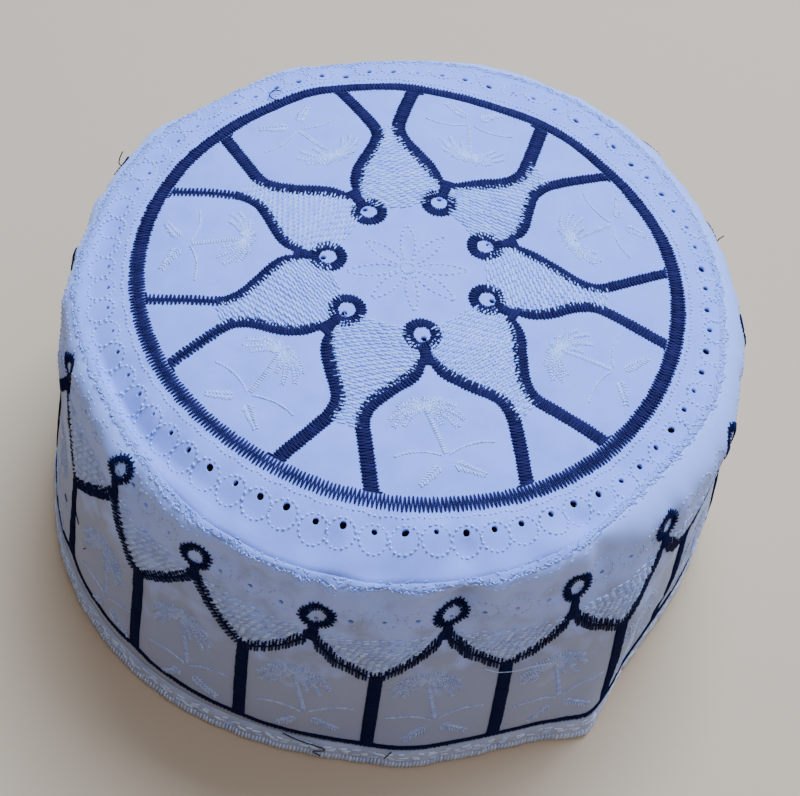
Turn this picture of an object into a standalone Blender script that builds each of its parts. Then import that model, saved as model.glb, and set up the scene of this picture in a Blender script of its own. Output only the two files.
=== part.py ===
"""Embroidered kufi cap: a low round cap with a domed crown disc and an upright side band.

The cloth is white and stiffly embroidered. Navy satin stitching draws a ring and seven arches
on the crown, and seventeen arches with posts and a bottom line on the side band. The cap
stands on its hem on a table, a little out of round, with one pinched corner at the front right.

World frame: +Z up, the hem rests on z = 0, the cap's front faces -Y. Lengths in the tables are
millimetres, angles are degrees counted from +X towards +Y, and MM turns them into metres.
A "station" is the distance up the side band from the hem, carried on over the shoulder.
"""
import bisect
import math

import bpy
from mathutils import Vector

MM = 0.001

# Driving sizes of the whole cap
CROWN_HEIGHT = 83.7
DOME_RISE = 3.4
SHOULDER_DROP = 10.0
SHOULDER_FULLNESS = 1.1
MID_STATION = 40.0
HEM_TOP = 8.5
CENTRE = (-0.28, 0.14)

# Cloth and stitching thicknesses, and the gap between pieces that touch
CLOTH = 1.6
HEM_THICKNESS = 3.0
HEM_PROUD = 0.5
HEM_ROUND = 0.5
SATIN = 0.6
GAP = 0.3
TRIM_LIFT = 0.4
SEAM_GAP = 0.5
SEAM_FOLD = 0.9

# Plan sections around the cap. Radii are measured from the crown's centre.
# azimuth, ring radius, seam radius, seam drop below the crown plane, shoulder, mid, hem radius
SECTIONS = (
    (-165, 67.5, 82.0, 3.5, 85.2, 89.9, 94.0),
    (-150, 67.4, 81.2, 3.2, 86.2, 91.2, 95.4),
    (-135, 67.2, 81.6, 3.6, 87.2, 92.2, 96.3),
    (-120, 66.8, 85.0, 4.6, 87.6, 92.4, 95.8),
    (-105, 67.1, 85.9, 5.9, 87.4, 91.4, 94.2),
    (-90, 67.3, 85.6, 6.4, 86.9, 90.4, 93.0),
    (-80, 67.4, 85.4, 5.2, 86.4, 90.6, 93.9),
    (-70, 67.7, 85.0, 3.8, 86.6, 90.0, 92.9),
    (-60, 68.1, 84.2, 2.2, 87.2, 90.8, 93.6),
    (-55, 68.0, 82.8, 2.0, 87.2, 91.4, 96.2),
    (-51, 67.9, 81.6, 2.0, 87.0, 92.2, 98.4),
    (-46, 67.7, 80.0, 2.0, 86.8, 93.0, 94.4),
    (-40, 67.4, 78.8, 2.0, 86.6, 90.8, 90.6),
    (-30, 67.1, 78.5, 2.0, 86.4, 88.8, 89.3),
    (-15, 66.8, 79.4, 2.0, 86.2, 88.6, 90.6),
    (0, 66.6, 78.2, 2.0, 85.4, 89.4, 93.2),
    (15, 66.3, 78.4, 2.0, 84.9, 89.0, 93.6),
    (30, 65.9, 79.4, 2.4, 85.8, 89.4, 93.4),
    (45, 65.8, 81.0, 2.6, 88.2, 90.4, 93.2),
    (60, 65.7, 82.0, 2.8, 88.4, 90.6, 93.2),
    (75, 65.6, 82.4, 3.0, 89.4, 91.0, 93.4),
    (90, 65.9, 81.0, 3.0, 87.2, 90.2, 93.4),
    (101, 67.0, 80.0, 3.0, 85.2, 89.2, 93.2),
    (111, 68.0, 79.6, 3.0, 83.9, 88.4, 93.0),
    (120, 68.3, 80.2, 3.0, 86.2, 89.2, 93.0),
    (131, 67.2, 79.4, 3.0, 84.0, 88.4, 93.0),
    (142, 66.9, 79.2, 3.0, 83.8, 88.4, 93.2),
    (152, 67.3, 80.0, 3.0, 85.3, 88.8, 93.4),
    (164, 67.4, 79.8, 3.2, 84.4, 88.6, 93.6),
    (180, 67.4, 80.6, 3.4, 84.6, 88.8, 93.8),
)
RING, SEAM, DROP, SHOULDER, MID, HEM = range(1, 7)

# Creases pinched into the side band:
# azimuth at the station, azimuth drift per mm down, station, half width, half height, depth
CREASES = (
    (-76.5, 0.10, 72.0, 6.5, 19.0, 1.7),
    (-54.5, -0.10, 72.0, 5.5, 14.0, 1.1),
)
# Soft hollow in the crown's margin: azimuth, radius, half width in degrees, half width in mm, depth
HOLLOW = (-132.0, 79.0, 26.0, 4.0, 1.4)

# Azimuths at which the cloth is sectioned: wide steps, and narrow ones over the pinched front
WIDE_STEP = 6
NARROW_STEP = 3
NARROW_FROM, NARROW_TO = -84, -30
# Rows of the crown as shares of the ring's radius, then in from the seam
FIELD_SHARES = (0.34, 0.67, 1.0)
MARGIN_INSETS = (9.0, 2.0)
# Rows of the side band: stations, then shares of the shoulder
BAND_STATIONS = (20.0, 32.0, 44.0, 54.0, 64.0)
SHOULDER_SHARES = (0.36, 0.68)

# Satin stitching
RING_WIDTH = 4.3
LINE_WIDTH = 2.2
EDGING_CROWN, EDGING_BAND, EDGING_THICKNESS = 0.9, 1.5, 0.9
LOOP_RADIUS = 3.55
SIDE_LOOP_RADIUS = 3.45
LOOP_WIDTH = 2.6
LOOP_ANGLES = (60, 24, -12)
# Lower end of a half loop: across and down as shares of its radius, then the width
LOOP_END = (0.62, 0.86, 2.2)

# Crown arches: azimuth, sideways shift of the loop, loop centre from the crown's centre
CROWN_ARCHES = (
    (-76.2, -0.8, 21.9),
    (-23.8, 0.8, 20.4),
    (26.8, 1.0, 19.6),
    (79.5, -0.1, 22.2),
    (129.1, 0.4, 20.4),
    (181.8, 0.4, 21.1),
    (-127.4, -1.0, 22.1),
)
# Legs of each crown arch, the counterclockwise one first: distance across the arch at six
# distances outward from the loop's centre (LEG_OUT), then the leg's width
LEG_OUT = (11.0, 15.0, 19.0, 23.0, 28.0, 40.0)
CROWN_LEGS = (
    ((3.5, 9.1, 15.4, 17.3, 17.9, 18.0, 3.6), (3.6, 9.9, 15.5, 17.5, 17.5, 17.4, 3.8)),
    ((2.8, 6.2, 11.6, 14.8, 15.7, 15.8, 3.3), (4.3, 10.2, 15.6, 18.1, 18.4, 18.7, 3.7)),
    ((3.2, 8.7, 14.2, 16.4, 17.1, 17.6, 3.3), (5.8, 11.5, 16.8, 18.7, 18.6, 18.2, 3.1)),
    ((5.2, 10.0, 15.0, 17.8, 18.5, 18.7, 3.9), (7.8, 14.6, 17.4, 17.9, 17.9, 18.0, 4.0)),
    ((5.1, 11.1, 15.8, 18.4, 18.7, 18.4, 3.6), (3.0, 6.6, 12.4, 16.8, 18.0, 18.0, 3.6)),
    ((2.8, 8.2, 14.1, 17.2, 17.8, 18.2, 3.0), (3.3, 8.8, 14.7, 17.1, 17.6, 17.7, 3.1)),
    ((4.2, 9.5, 15.6, 17.3, 17.7, 17.8, 3.7), (3.1, 6.9, 14.2, 17.5, 18.0, 18.6, 3.1)),
)
# Neck of a crown arch over its legs (across, outward, width), and how far out the legs end
CROWN_NECK = ((1.25, 5.0, 2.0), (1.3, 6.8, 2.2))
LEG_END = 47.0
SHIFT_REACH = 24.0

# Side arches, left to right around the cap:
# peak azimuth, azimuth of the post at its right, loop centre station, peak, valley and post foot
SIDE_ARCHES = (
    (-155.5, -146.0, 73.0, 66.5, 47.0, 14.5),
    (-133.5, -126.5, 75.0, 65.5, 46.5, 13.5),
    (-116.3, -107.0, 68.5, 61.0, 44.5, 11.5),
    (-97.0, -86.6, 65.0, 56.8, 42.5, 10.0),
    (-77.0, -66.6, 66.5, 58.4, 44.0, 10.0),
    (-57.0, -47.4, 68.5, 58.0, 46.0, 10.0),
    (-39.6, -30.0, 72.5, 65.5, 53.5, 10.0),
    (-20.6, -9.0, 74.0, 66.5, 53.0, 10.0),
    (3.0, 14.5, 74.0, 66.0, 51.0, 10.0),
    (26.0, 37.0, 73.0, 65.0, 49.0, 10.5),
    (48.0, 59.5, 73.0, 64.5, 46.0, 11.0),
    (71.0, 82.0, 73.0, 64.5, 46.0, 11.5),
    (93.0, 104.5, 73.0, 64.5, 46.0, 12.0),
    (116.0, 126.8, 73.0, 64.5, 46.0, 12.5),
    (138.0, 149.0, 73.0, 65.0, 46.0, 13.0),
    (160.0, 171.0, 73.0, 65.5, 46.5, 13.5),
    (182.5, 193.5, 73.0, 66.0, 47.0, 14.0),
)
THROAT_WIDTH = 1.7
THROAT_SLIT = 0.34
# Stations of the throat over the arch's peak
THROAT_ABOVE_PEAK = (3.2, 1.2)
FLANK_WIDTH = 3.6
POST_WIDTH = 3.5
# Points along the right and the left flank: share of the way across and share of the way down
RIGHT_FLANK = ((0.22, 0.27), (0.55, 0.67))
LEFT_FLANK = ((0.22, 0.25), (0.60, 0.64))

COLOURS = {
    "cloth": (0.42, 0.50, 0.80, 1.0),
    "edging": (0.47, 0.54, 0.82, 1.0),
    "navy": (0.03, 0.055, 0.18, 1.0),
}


def remove_everything():
    """Empty the open scene."""
    for item in list(bpy.data.objects):
        bpy.data.objects.remove(item, do_unlink=True)


def column(azimuth, which):
    """Read one column of SECTIONS at any azimuth, as a smooth closed curve."""
    count = len(SECTIONS)
    first = SECTIONS[0][0]
    turned = (azimuth - first) % 360.0 + first
    known = [row[0] for row in SECTIONS] + [first + 360]
    at = bisect.bisect_right(known, turned) - 1

    def knot(index):
        turns, row = divmod(index, count)
        return SECTIONS[row][0] + 360.0 * turns, SECTIONS[row][which]

    (xa, ya), (xb, yb), (xc, yc), (xd, yd) = (knot(at + k) for k in (-1, 0, 1, 2))
    span = xc - xb
    t = (turned - xb) / span
    rise_b = (yc - ya) / (xc - xa) * span
    rise_c = (yd - yb) / (xd - xb) * span
    return (
        (2 * t**3 - 3 * t**2 + 1) * yb
        + (t**3 - 2 * t**2 + t) * rise_b
        + (3 * t**2 - 2 * t**3) * yc
        + (t**3 - t**2) * rise_c
    )


def turn_between(angle, reference):
    """Signed difference of two azimuths, in degrees."""
    return (angle - reference + 180.0) % 360.0 - 180.0


def polar(radius, azimuth):
    """Plane coordinates of a radius and an azimuth."""
    turn = math.radians(azimuth)
    return radius * math.cos(turn), radius * math.sin(turn)


def crown_height(x, y):
    """Height of the crown's top over the table, in mm."""
    radius = math.hypot(x, y)
    azimuth = math.degrees(math.atan2(y, x))
    ring = column(azimuth, RING)
    if radius < ring:
        height = CROWN_HEIGHT + DOME_RISE * (1 - (radius / ring) ** 2)
    else:
        out = radius - ring
        margin = column(azimuth, SEAM) - ring
        slope = 2 * DOME_RISE / ring
        bend = column(azimuth, DROP) - slope * margin
        height = CROWN_HEIGHT - slope * out - bend * (out / margin) ** 2
    middle, where, wide, deep, depth = HOLLOW
    off = turn_between(azimuth, middle) / wide
    return height - depth * math.exp(-(off**2) - ((radius - where) / deep) ** 2)


def seam_height(azimuth):
    """Height of the seam over the table, where the crown's margin ends."""
    return crown_height(*polar(column(azimuth, SEAM), azimuth))


def shoulder_length(azimuth):
    """Length of the side band's rolled shoulder, from its widest station to the seam."""
    inward = column(azimuth, SHOULDER) - column(azimuth, SEAM)
    rise = seam_height(azimuth) - CROWN_HEIGHT + SHOULDER_DROP
    return SHOULDER_FULLNESS * math.hypot(inward, rise)


def wall_section(azimuth, station):
    """Radius and height of the side band's outer face, in mm."""
    shoulder_at = CROWN_HEIGHT - SHOULDER_DROP
    hem, mid, shoulder = (column(azimuth, which) for which in (HEM, MID, SHOULDER))
    if station <= shoulder_at:
        s, m, e = station, MID_STATION, shoulder_at
        radius = hem * (s - m) * (s - e) / (m * e)
        radius += mid * s * (s - e) / (m * (m - e))
        radius += shoulder * s * (s - m) / (e * (e - m))
        height = station
        u = 0.0
    else:
        length = shoulder_length(azimuth)
        u = min((station - shoulder_at) / length, 1.0)
        seam, top = column(azimuth, SEAM), seam_height(azimuth)
        slope = crown_height(*polar(seam - 1.0, azimuth)) - top
        run = length / math.hypot(1.0, slope)
        start, end = 2 * u**3 - 3 * u**2 + 1, 3 * u**2 - 2 * u**3
        leave, arrive = u**3 - 2 * u**2 + u, u**3 - u**2
        radius = start * shoulder + end * seam - arrive * run
        height = start * shoulder_at + leave * length
        height += end * top + arrive * run * slope
    for middle, drift, where, wide, tall, depth in CREASES:
        centre = middle + drift * (where - station)
        off = math.radians(turn_between(azimuth, centre)) * radius / wide
        radius -= (1 - u) * depth * math.exp(-(off**2) - ((station - where) / tall) ** 2)
    return radius, height


def wall_point(azimuth, station, lift=0.0):
    """World point on the side band, raised from its outer face by lift."""

    def raw(angle, where):
        radius, height = wall_section(angle, where)
        turn = math.radians(angle)
        return Vector((radius * math.cos(turn), radius * math.sin(turn), height))

    point = raw(azimuth, station)
    if lift:
        along = raw(azimuth + 0.5, station) - raw(azimuth - 0.5, station)
        up = raw(azimuth, station + 0.4) - raw(azimuth, station - 0.4)
        point = point + along.cross(up).normalized() * lift
    return to_world(point)


def crown_point(x, y, lift=0.0):
    """World point on the crown's top, raised from it by lift."""
    point = Vector((x, y, crown_height(x, y)))
    if lift:
        step = 0.5
        slope_x = crown_height(x + step, y) - crown_height(x - step, y)
        slope_y = crown_height(x, y + step) - crown_height(x, y - step)
        point = point + Vector((-slope_x, -slope_y, 2 * step)).normalized() * lift
    return to_world(point)


def to_world(point):
    """Move a point of the cap from crown centred mm to world metres."""
    return Vector((point.x - CENTRE[0], point.y - CENTRE[1], point.z)) * MM


def seam_station(azimuth):
    """Station of the seam where the side band meets the crown."""
    return CROWN_HEIGHT - SHOULDER_DROP + shoulder_length(azimuth)


def azimuth_list():
    """Azimuths of the cloth's sections, all the way around."""
    angles = []
    angle = NARROW_TO
    while angle < NARROW_FROM + 360:
        angles.append(angle)
        angle += WIDE_STEP
    angle = NARROW_FROM
    while angle < NARROW_TO:
        angles.append(angle)
        angle += NARROW_STEP
    return angles


def make_material(name, colour, roughness):
    """One Principled material for one piece."""
    material = bpy.data.materials.new(name)
    material.use_nodes = True
    shader = material.node_tree.nodes["Principled BSDF"]
    shader.inputs["Base Color"].default_value = colour
    shader.inputs["Roughness"].default_value = roughness
    shader.inputs["Metallic"].default_value = 0.0
    material.diffuse_color = colour
    return material


def make_piece(name, vertices, faces, colour, roughness):
    """Add one named mesh object with its own material."""
    mesh = bpy.data.meshes.new(name)
    mesh.from_pydata(vertices, [], faces)
    mesh.materials.append(make_material(name, COLOURS[colour], roughness))
    mesh.shade_smooth()
    piece = bpy.data.objects.new(name, mesh)
    collection.objects.link(piece)
    return piece


def thicken(piece, thickness, outward):
    """Give an open surface its thickness, outward or inward from the surface."""
    solidify = piece.modifiers.new("thickness", "SOLIDIFY")
    solidify.thickness = thickness * MM
    solidify.offset = 1.0 if outward else -1.0
    solidify.use_even_offset = True
    return solidify


def closed_rows(rows):
    """Vertices and faces between closed rows of equal length, lowest row first."""
    count = len(rows[0])
    vertices = [point for row in rows for point in row]
    faces = []
    for lower in range(len(rows) - 1):
        base, top = lower * count, (lower + 1) * count
        for i in range(count):
            j = (i + 1) % count
            faces.append((base + i, base + j, top + j, top + i))
    return vertices, faces


def make_crown(azimuths):
    """The domed crown disc, from its centre to just short of the seam."""
    rows = []
    for share in FIELD_SHARES:
        rows.append([crown_point(*polar(share * column(a, RING), a)) for a in azimuths])
    for inset in (*MARGIN_INSETS, SEAM_GAP):
        rows.append([crown_point(*polar(column(a, SEAM) - inset, a)) for a in azimuths])
    rows.reverse()
    vertices, faces = closed_rows(rows)
    centre = len(vertices)
    vertices.append(crown_point(0.0, 0.0))
    inner = centre - len(azimuths)
    for i in range(len(azimuths)):
        faces.append((inner + i, inner + (i + 1) % len(azimuths), centre))
    thicken(make_piece("crown_cloth", vertices, faces, "cloth", 0.8), CLOTH, outward=False)


def make_side_band(azimuths):
    """The upright cloth band, from the hem edging up over the shoulder to the seam."""
    shoulder = CROWN_HEIGHT - SHOULDER_DROP
    stations = (HEM_TOP + TRIM_LIFT, *BAND_STATIONS, shoulder)
    rows = [[wall_point(a, station) for a in azimuths] for station in stations]
    for share in SHOULDER_SHARES:
        rows.append([wall_point(a, shoulder + share * shoulder_length(a)) for a in azimuths])
    for inset in (SEAM_FOLD, SEAM_GAP):
        rows.append([wall_point(a, seam_station(a) - inset) for a in azimuths])
    vertices, faces = closed_rows(rows)
    thicken(make_piece("side_band", vertices, faces, "cloth", 0.8), CLOTH, outward=False)


def make_seam_edging(azimuths):
    """The raised edging that runs around on top of the crown seam."""
    band = [wall_point(a, seam_station(a) - EDGING_BAND, TRIM_LIFT) for a in azimuths]
    middle = [wall_point(a, seam_station(a), TRIM_LIFT) for a in azimuths]
    crown = []
    for a in azimuths:
        crown.append(crown_point(*polar(column(a, SEAM) - EDGING_CROWN, a), TRIM_LIFT))
    vertices, faces = closed_rows([band, middle, crown])
    edging = make_piece("seam_edging", vertices, faces, "edging", 0.75)
    thicken(edging, EDGING_THICKNESS, outward=True)


def make_hem_edging(azimuths):
    """The doubled hem strip along the lower edge, flat underneath, rounded outside."""
    inner = CLOTH - HEM_THICKNESS
    profile = (
        (inner, 0.0),
        (HEM_PROUD - HEM_ROUND, 0.0),
        (HEM_PROUD, HEM_ROUND),
        (HEM_PROUD, HEM_TOP - HEM_ROUND),
        (HEM_PROUD - HEM_ROUND, HEM_TOP),
        (inner, HEM_TOP),
    )
    rows = []
    for out, height in profile:
        row = []
        for a in azimuths:
            radius, _ = wall_section(a, height)
            x, y = polar(radius + out, a)
            row.append(to_world(Vector((x, y, height))))
        rows.append(row)
    rows.append(rows[0])
    count = len(azimuths)
    vertices, faces = closed_rows(rows)
    total = count * len(profile)
    faces = [tuple(index % total for index in face) for face in faces]
    make_piece("hem_edging", vertices[:total], faces, "edging", 0.8)


def make_closed_strip(name, lower, upper):
    """A closed satin band between two rows of points on the cloth."""
    vertices, faces = closed_rows([lower, upper])
    thicken(make_piece(name, vertices, faces, "navy", 0.55), SATIN, outward=True)


def make_strip(name, path, place):
    """An open satin band along a path of (across, up, width) rows, laid on the cloth."""
    edges = []
    last = len(path) - 1
    for i, (x, y, width) in enumerate(path):
        here = Vector((x, y))
        before = here - Vector(path[i - 1][:2]) if i else Vector(path[1][:2]) - here
        after = Vector(path[i + 1][:2]) - here if i < last else before
        before.normalize()
        after.normalize()
        heading = (before + after).normalized()
        side = Vector((-heading.y, heading.x))
        mitre = min(1.0 / max(heading.dot(after), 0.5), 1.25)
        half = side * (width / 2 * mitre)
        edges.append((here - half, here + half))
    vertices = [place(point) for pair in edges for point in pair]
    faces = []
    for i in range(last):
        k = 2 * i
        faces.append((k, k + 2, k + 3, k + 1))
    thicken(make_piece(name, vertices, faces, "navy", 0.55), SATIN, outward=True)


def half_loop(radius):
    """Right half of an arch's loop around its centre, from the top down: (across, up, width)."""
    points = [(0.0, radius, LOOP_WIDTH)]
    for angle in LOOP_ANGLES:
        turn = math.radians(angle)
        points.append((radius * math.cos(turn), radius * math.sin(turn), LOOP_WIDTH))
    across, down, width = LOOP_END
    points.append((across * radius, -down * radius, width))
    return points


def crown_leg(columns):
    """One leg of a crown arch from its neck to its foot: (across, up, width)."""
    *reaches, width = columns
    leg = [(across, -outward, wide) for across, outward, wide in CROWN_NECK]
    leg += [(across, -outward, width) for across, outward in zip(reaches, LEG_OUT)]
    leg.append((reaches[-1], -LEG_END, width))
    return leg


def joined(right, left):
    """Join a right half path to a left one, both top first: from left foot to right foot."""
    turned = [(-x, y, width) for x, y, width in left[1:]]
    turned.reverse()
    return turned + right


def make_crown_arch(number, row, legs):
    """One navy arch on the crown, with the loop at its point."""
    azimuth, shift, loop_out = row
    loop_half = half_loop(LOOP_RADIUS)
    right, left = (loop_half + crown_leg(columns) for columns in legs)
    turn = math.radians(azimuth)
    along = Vector((-math.sin(turn), math.cos(turn)))
    outward_axis = Vector((math.cos(turn), math.sin(turn)))

    def place(point):
        fade = max(0.0, min(1.0, (SHIFT_REACH + point.y) / SHIFT_REACH))
        across = point.x + shift * fade
        flat = along * across + outward_axis * (loop_out - point.y)
        limit = column(math.degrees(math.atan2(flat.y, flat.x)), RING)
        limit -= RING_WIDTH / 2 + GAP
        if flat.length > limit:
            flat = flat * (limit / flat.length)
        return crown_point(flat.x, flat.y, TRIM_LIFT)

    make_strip(f"crown_arch_{number}", joined(right, left), place)


def side_flank(row, reach, valley, shares):
    """One flank of a side arch from its throat to the valley: (across, up from the loop, width)."""
    _, _, loop, peak, _, _ = row
    throat = (THROAT_WIDTH + THROAT_SLIT) / 2
    points = [(throat, peak - loop + above, THROAT_WIDTH) for above in THROAT_ABOVE_PEAK]
    for across, down in shares:
        points.append((across * reach, peak - loop + (valley - peak) * down, FLANK_WIDTH))
    points.append((reach, valley - loop, FLANK_WIDTH))
    return points


def make_side_arch(number, row, previous):
    """One navy arch on the side band, with its loop, and the post at its right."""
    peak_azimuth, post_azimuth, loop, _, valley, foot = row
    left_post, left_valley = previous
    scale = 180.0 / (math.pi * column(peak_azimuth, MID))
    left_reach = (peak_azimuth - left_post) / scale
    right_reach = (post_azimuth - peak_azimuth) / scale
    loop_half = half_loop(SIDE_LOOP_RADIUS)
    left = loop_half + side_flank(row, left_reach, left_valley, LEFT_FLANK)
    right = loop_half + side_flank(row, right_reach, valley, RIGHT_FLANK)
    right[-1] = (right_reach, valley - loop, POST_WIDTH)
    right.append((right_reach, (valley + foot) / 2 - loop, POST_WIDTH))
    right.append((right_reach, foot - loop, POST_WIDTH))
    left_limit = left_post + (POST_WIDTH / 2 + TRIM_LIFT) * scale
    foot_limit = foot + LINE_WIDTH / 2 + GAP

    def place(point):
        azimuth = max(peak_azimuth + point.x * scale, left_limit)
        station = max(loop + point.y, foot_limit)
        return wall_point(azimuth, station, TRIM_LIFT)

    make_strip(f"side_arch_{number}", joined(right, left), place)


def line_station(azimuth):
    """Station of the navy bottom line, read between the posts' feet."""
    feet = [(row[1], row[5]) for row in SIDE_ARCHES]
    first = feet[0][0]
    turned = (azimuth - first) % 360.0 + first
    feet.append((first + 360.0, feet[0][1]))
    for (start, low), (end, high) in zip(feet, feet[1:]):
        if start <= turned <= end:
            return low + (high - low) * (turned - start) / (end - start)
    return feet[0][1]


def make_navy_bands(azimuths):
    """The ring around the crown's field and the line above the hem."""
    half = RING_WIDTH / 2
    inner = [crown_point(*polar(column(a, RING) - half, a), TRIM_LIFT) for a in azimuths]
    outer = [crown_point(*polar(column(a, RING) + half, a), TRIM_LIFT) for a in azimuths]
    make_closed_strip("crown_ring", outer, inner)
    half = LINE_WIDTH / 2
    lower = [wall_point(a, line_station(a) - half, TRIM_LIFT) for a in azimuths]
    upper = [wall_point(a, line_station(a) + half, TRIM_LIFT) for a in azimuths]
    make_closed_strip("hem_line", lower, upper)


remove_everything()
collection = bpy.data.collections.new("kufi_cap")
bpy.context.scene.collection.children.link(collection)
sections = azimuth_list()
make_crown(sections)
make_side_band(sections)
make_seam_edging(sections)
make_hem_edging(sections)
make_navy_bands(sections)
for arch_number, arch_row in enumerate(CROWN_ARCHES, start=1):
    make_crown_arch(arch_number, arch_row, CROWN_LEGS[arch_number - 1])
for arch_number, arch_row in enumerate(SIDE_ARCHES, start=1):
    _, post, _, _, valley_before, _ = SIDE_ARCHES[arch_number - 2]
    if arch_number == 1:
        post -= 360.0
    make_side_arch(arch_number, arch_row, (post, valley_before))
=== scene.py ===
"""Embroidered kufi cap: cloth, satin stitching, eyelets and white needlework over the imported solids."""
import math

import bmesh
import bpy
import numpy as np
from mathutils import Matrix, Vector


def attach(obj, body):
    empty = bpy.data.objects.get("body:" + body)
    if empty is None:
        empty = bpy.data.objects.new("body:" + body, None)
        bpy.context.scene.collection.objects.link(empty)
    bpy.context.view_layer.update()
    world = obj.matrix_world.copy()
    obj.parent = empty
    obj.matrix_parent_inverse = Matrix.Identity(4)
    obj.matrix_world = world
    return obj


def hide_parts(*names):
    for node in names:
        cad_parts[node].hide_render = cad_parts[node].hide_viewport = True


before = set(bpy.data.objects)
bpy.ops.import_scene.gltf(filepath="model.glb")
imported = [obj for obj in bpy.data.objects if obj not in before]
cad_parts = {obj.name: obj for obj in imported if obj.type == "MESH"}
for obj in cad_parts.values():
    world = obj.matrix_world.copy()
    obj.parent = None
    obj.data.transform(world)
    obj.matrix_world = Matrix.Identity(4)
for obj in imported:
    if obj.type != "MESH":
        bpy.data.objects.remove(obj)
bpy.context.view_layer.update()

MM = 0.001

# Camera and setting
# A cap on a pale table, seen from in front and well above, as it was photographed.
# The camera is turned a little about its axis, so the crown's far edge rises to the right.
VIEW_LENS = 68.87
VIEW_PLACE = (0.00170, -0.25039, 0.37058)
VIEW_TILT = 53.578
VIEW_ROLL = -8.264

tilt = math.radians(VIEW_TILT)
roll = math.radians(VIEW_ROLL)
level = Vector((1.0, 0.0, 0.0))
rise = Vector((0.0, math.sin(tilt), math.cos(tilt)))
back = Vector((0.0, -math.cos(tilt), math.sin(tilt)))
across = level * math.cos(roll) - rise * math.sin(roll)
upward = level * math.sin(roll) + rise * math.cos(roll)
view_data = bpy.data.cameras.new("view")
view_data.lens = VIEW_LENS
view_data.sensor_width = 36.0
view_data.sensor_fit = "HORIZONTAL"
view_data.clip_start = 0.01
view = bpy.data.objects.new("view", view_data)
turn = Matrix((across, upward, back)).transposed().to_4x4()
view.matrix_world = Matrix.Translation(VIEW_PLACE) @ turn
bpy.context.scene.collection.objects.link(view)
bpy.context.scene.camera = view

# Window light from high at the back, so the crown is bright and the front stands in soft shade
LIGHTS = (
    # name, place, size, power, colour
    ("window", (0.22, 0.62, 1.25), 0.8, 51.5, (0.39, 0.57, 1.0)),
    ("ceiling", (0.20, -0.35, 1.3), 1.1, 10.0, (0.46, 0.60, 1.0)),
    ("room", (0.6, -1.1, 0.7), 1.2, 0.8, (1.0, 0.92, 0.86)),
)
for light_name, place, size, power, colour in LIGHTS:
    lamp_data = bpy.data.lights.new(light_name, "AREA")
    lamp_data.shape = "SQUARE"
    lamp_data.size = size
    lamp_data.energy = power
    lamp_data.color = colour
    lamp = bpy.data.objects.new(light_name, lamp_data)
    aim = Vector((0.0, 0.0, 0.04)) - Vector(place)
    lamp.rotation_euler = aim.to_track_quat("-Z", "Y").to_euler()
    lamp.location = place
    bpy.context.scene.collection.objects.link(lamp)

world = bpy.data.worlds.new("soft_room")
world.use_nodes = True
world.node_tree.nodes["Background"].inputs["Color"].default_value = (0.80, 0.86, 1.0, 1.0)
world.node_tree.nodes["Background"].inputs["Strength"].default_value = 0.09
bpy.context.scene.world = world


def principled(name, colour, roughness):
    """A material and its Principled shader."""
    made = bpy.data.materials.new(name)
    made.use_nodes = True
    shader = made.node_tree.nodes["Principled BSDF"]
    shader.inputs["Base Color"].default_value = (*colour, 1.0)
    shader.inputs["Roughness"].default_value = roughness
    return made, shader


table_finish, _ = principled("pale_table", (0.74, 0.48, 0.24), 0.8)
bpy.ops.mesh.primitive_plane_add(size=6.0, location=(0.0, 0.0, -0.0002))
table = bpy.context.object
table.name = "table"
table.data.materials.append(table_finish)

# Crown cloth
# The round top: two layers of stiffened cotton sewn as one disc, slightly domed, with a
# row of punched eyelets in its margin. The needlework draws it into small dimples and puffs.
CROWN_HEIGHT = 83.7
DOME_RISE = 3.4
SHOULDER_DROP = 10.0
MID_STATION = 40.0
# Point of the crown's plane that lies over the world's origin, in mm
CENTRE = (-0.28, 0.14)
# Thickness of the cloth as it shows at the eyelets
CLOTH = 1.1
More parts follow.
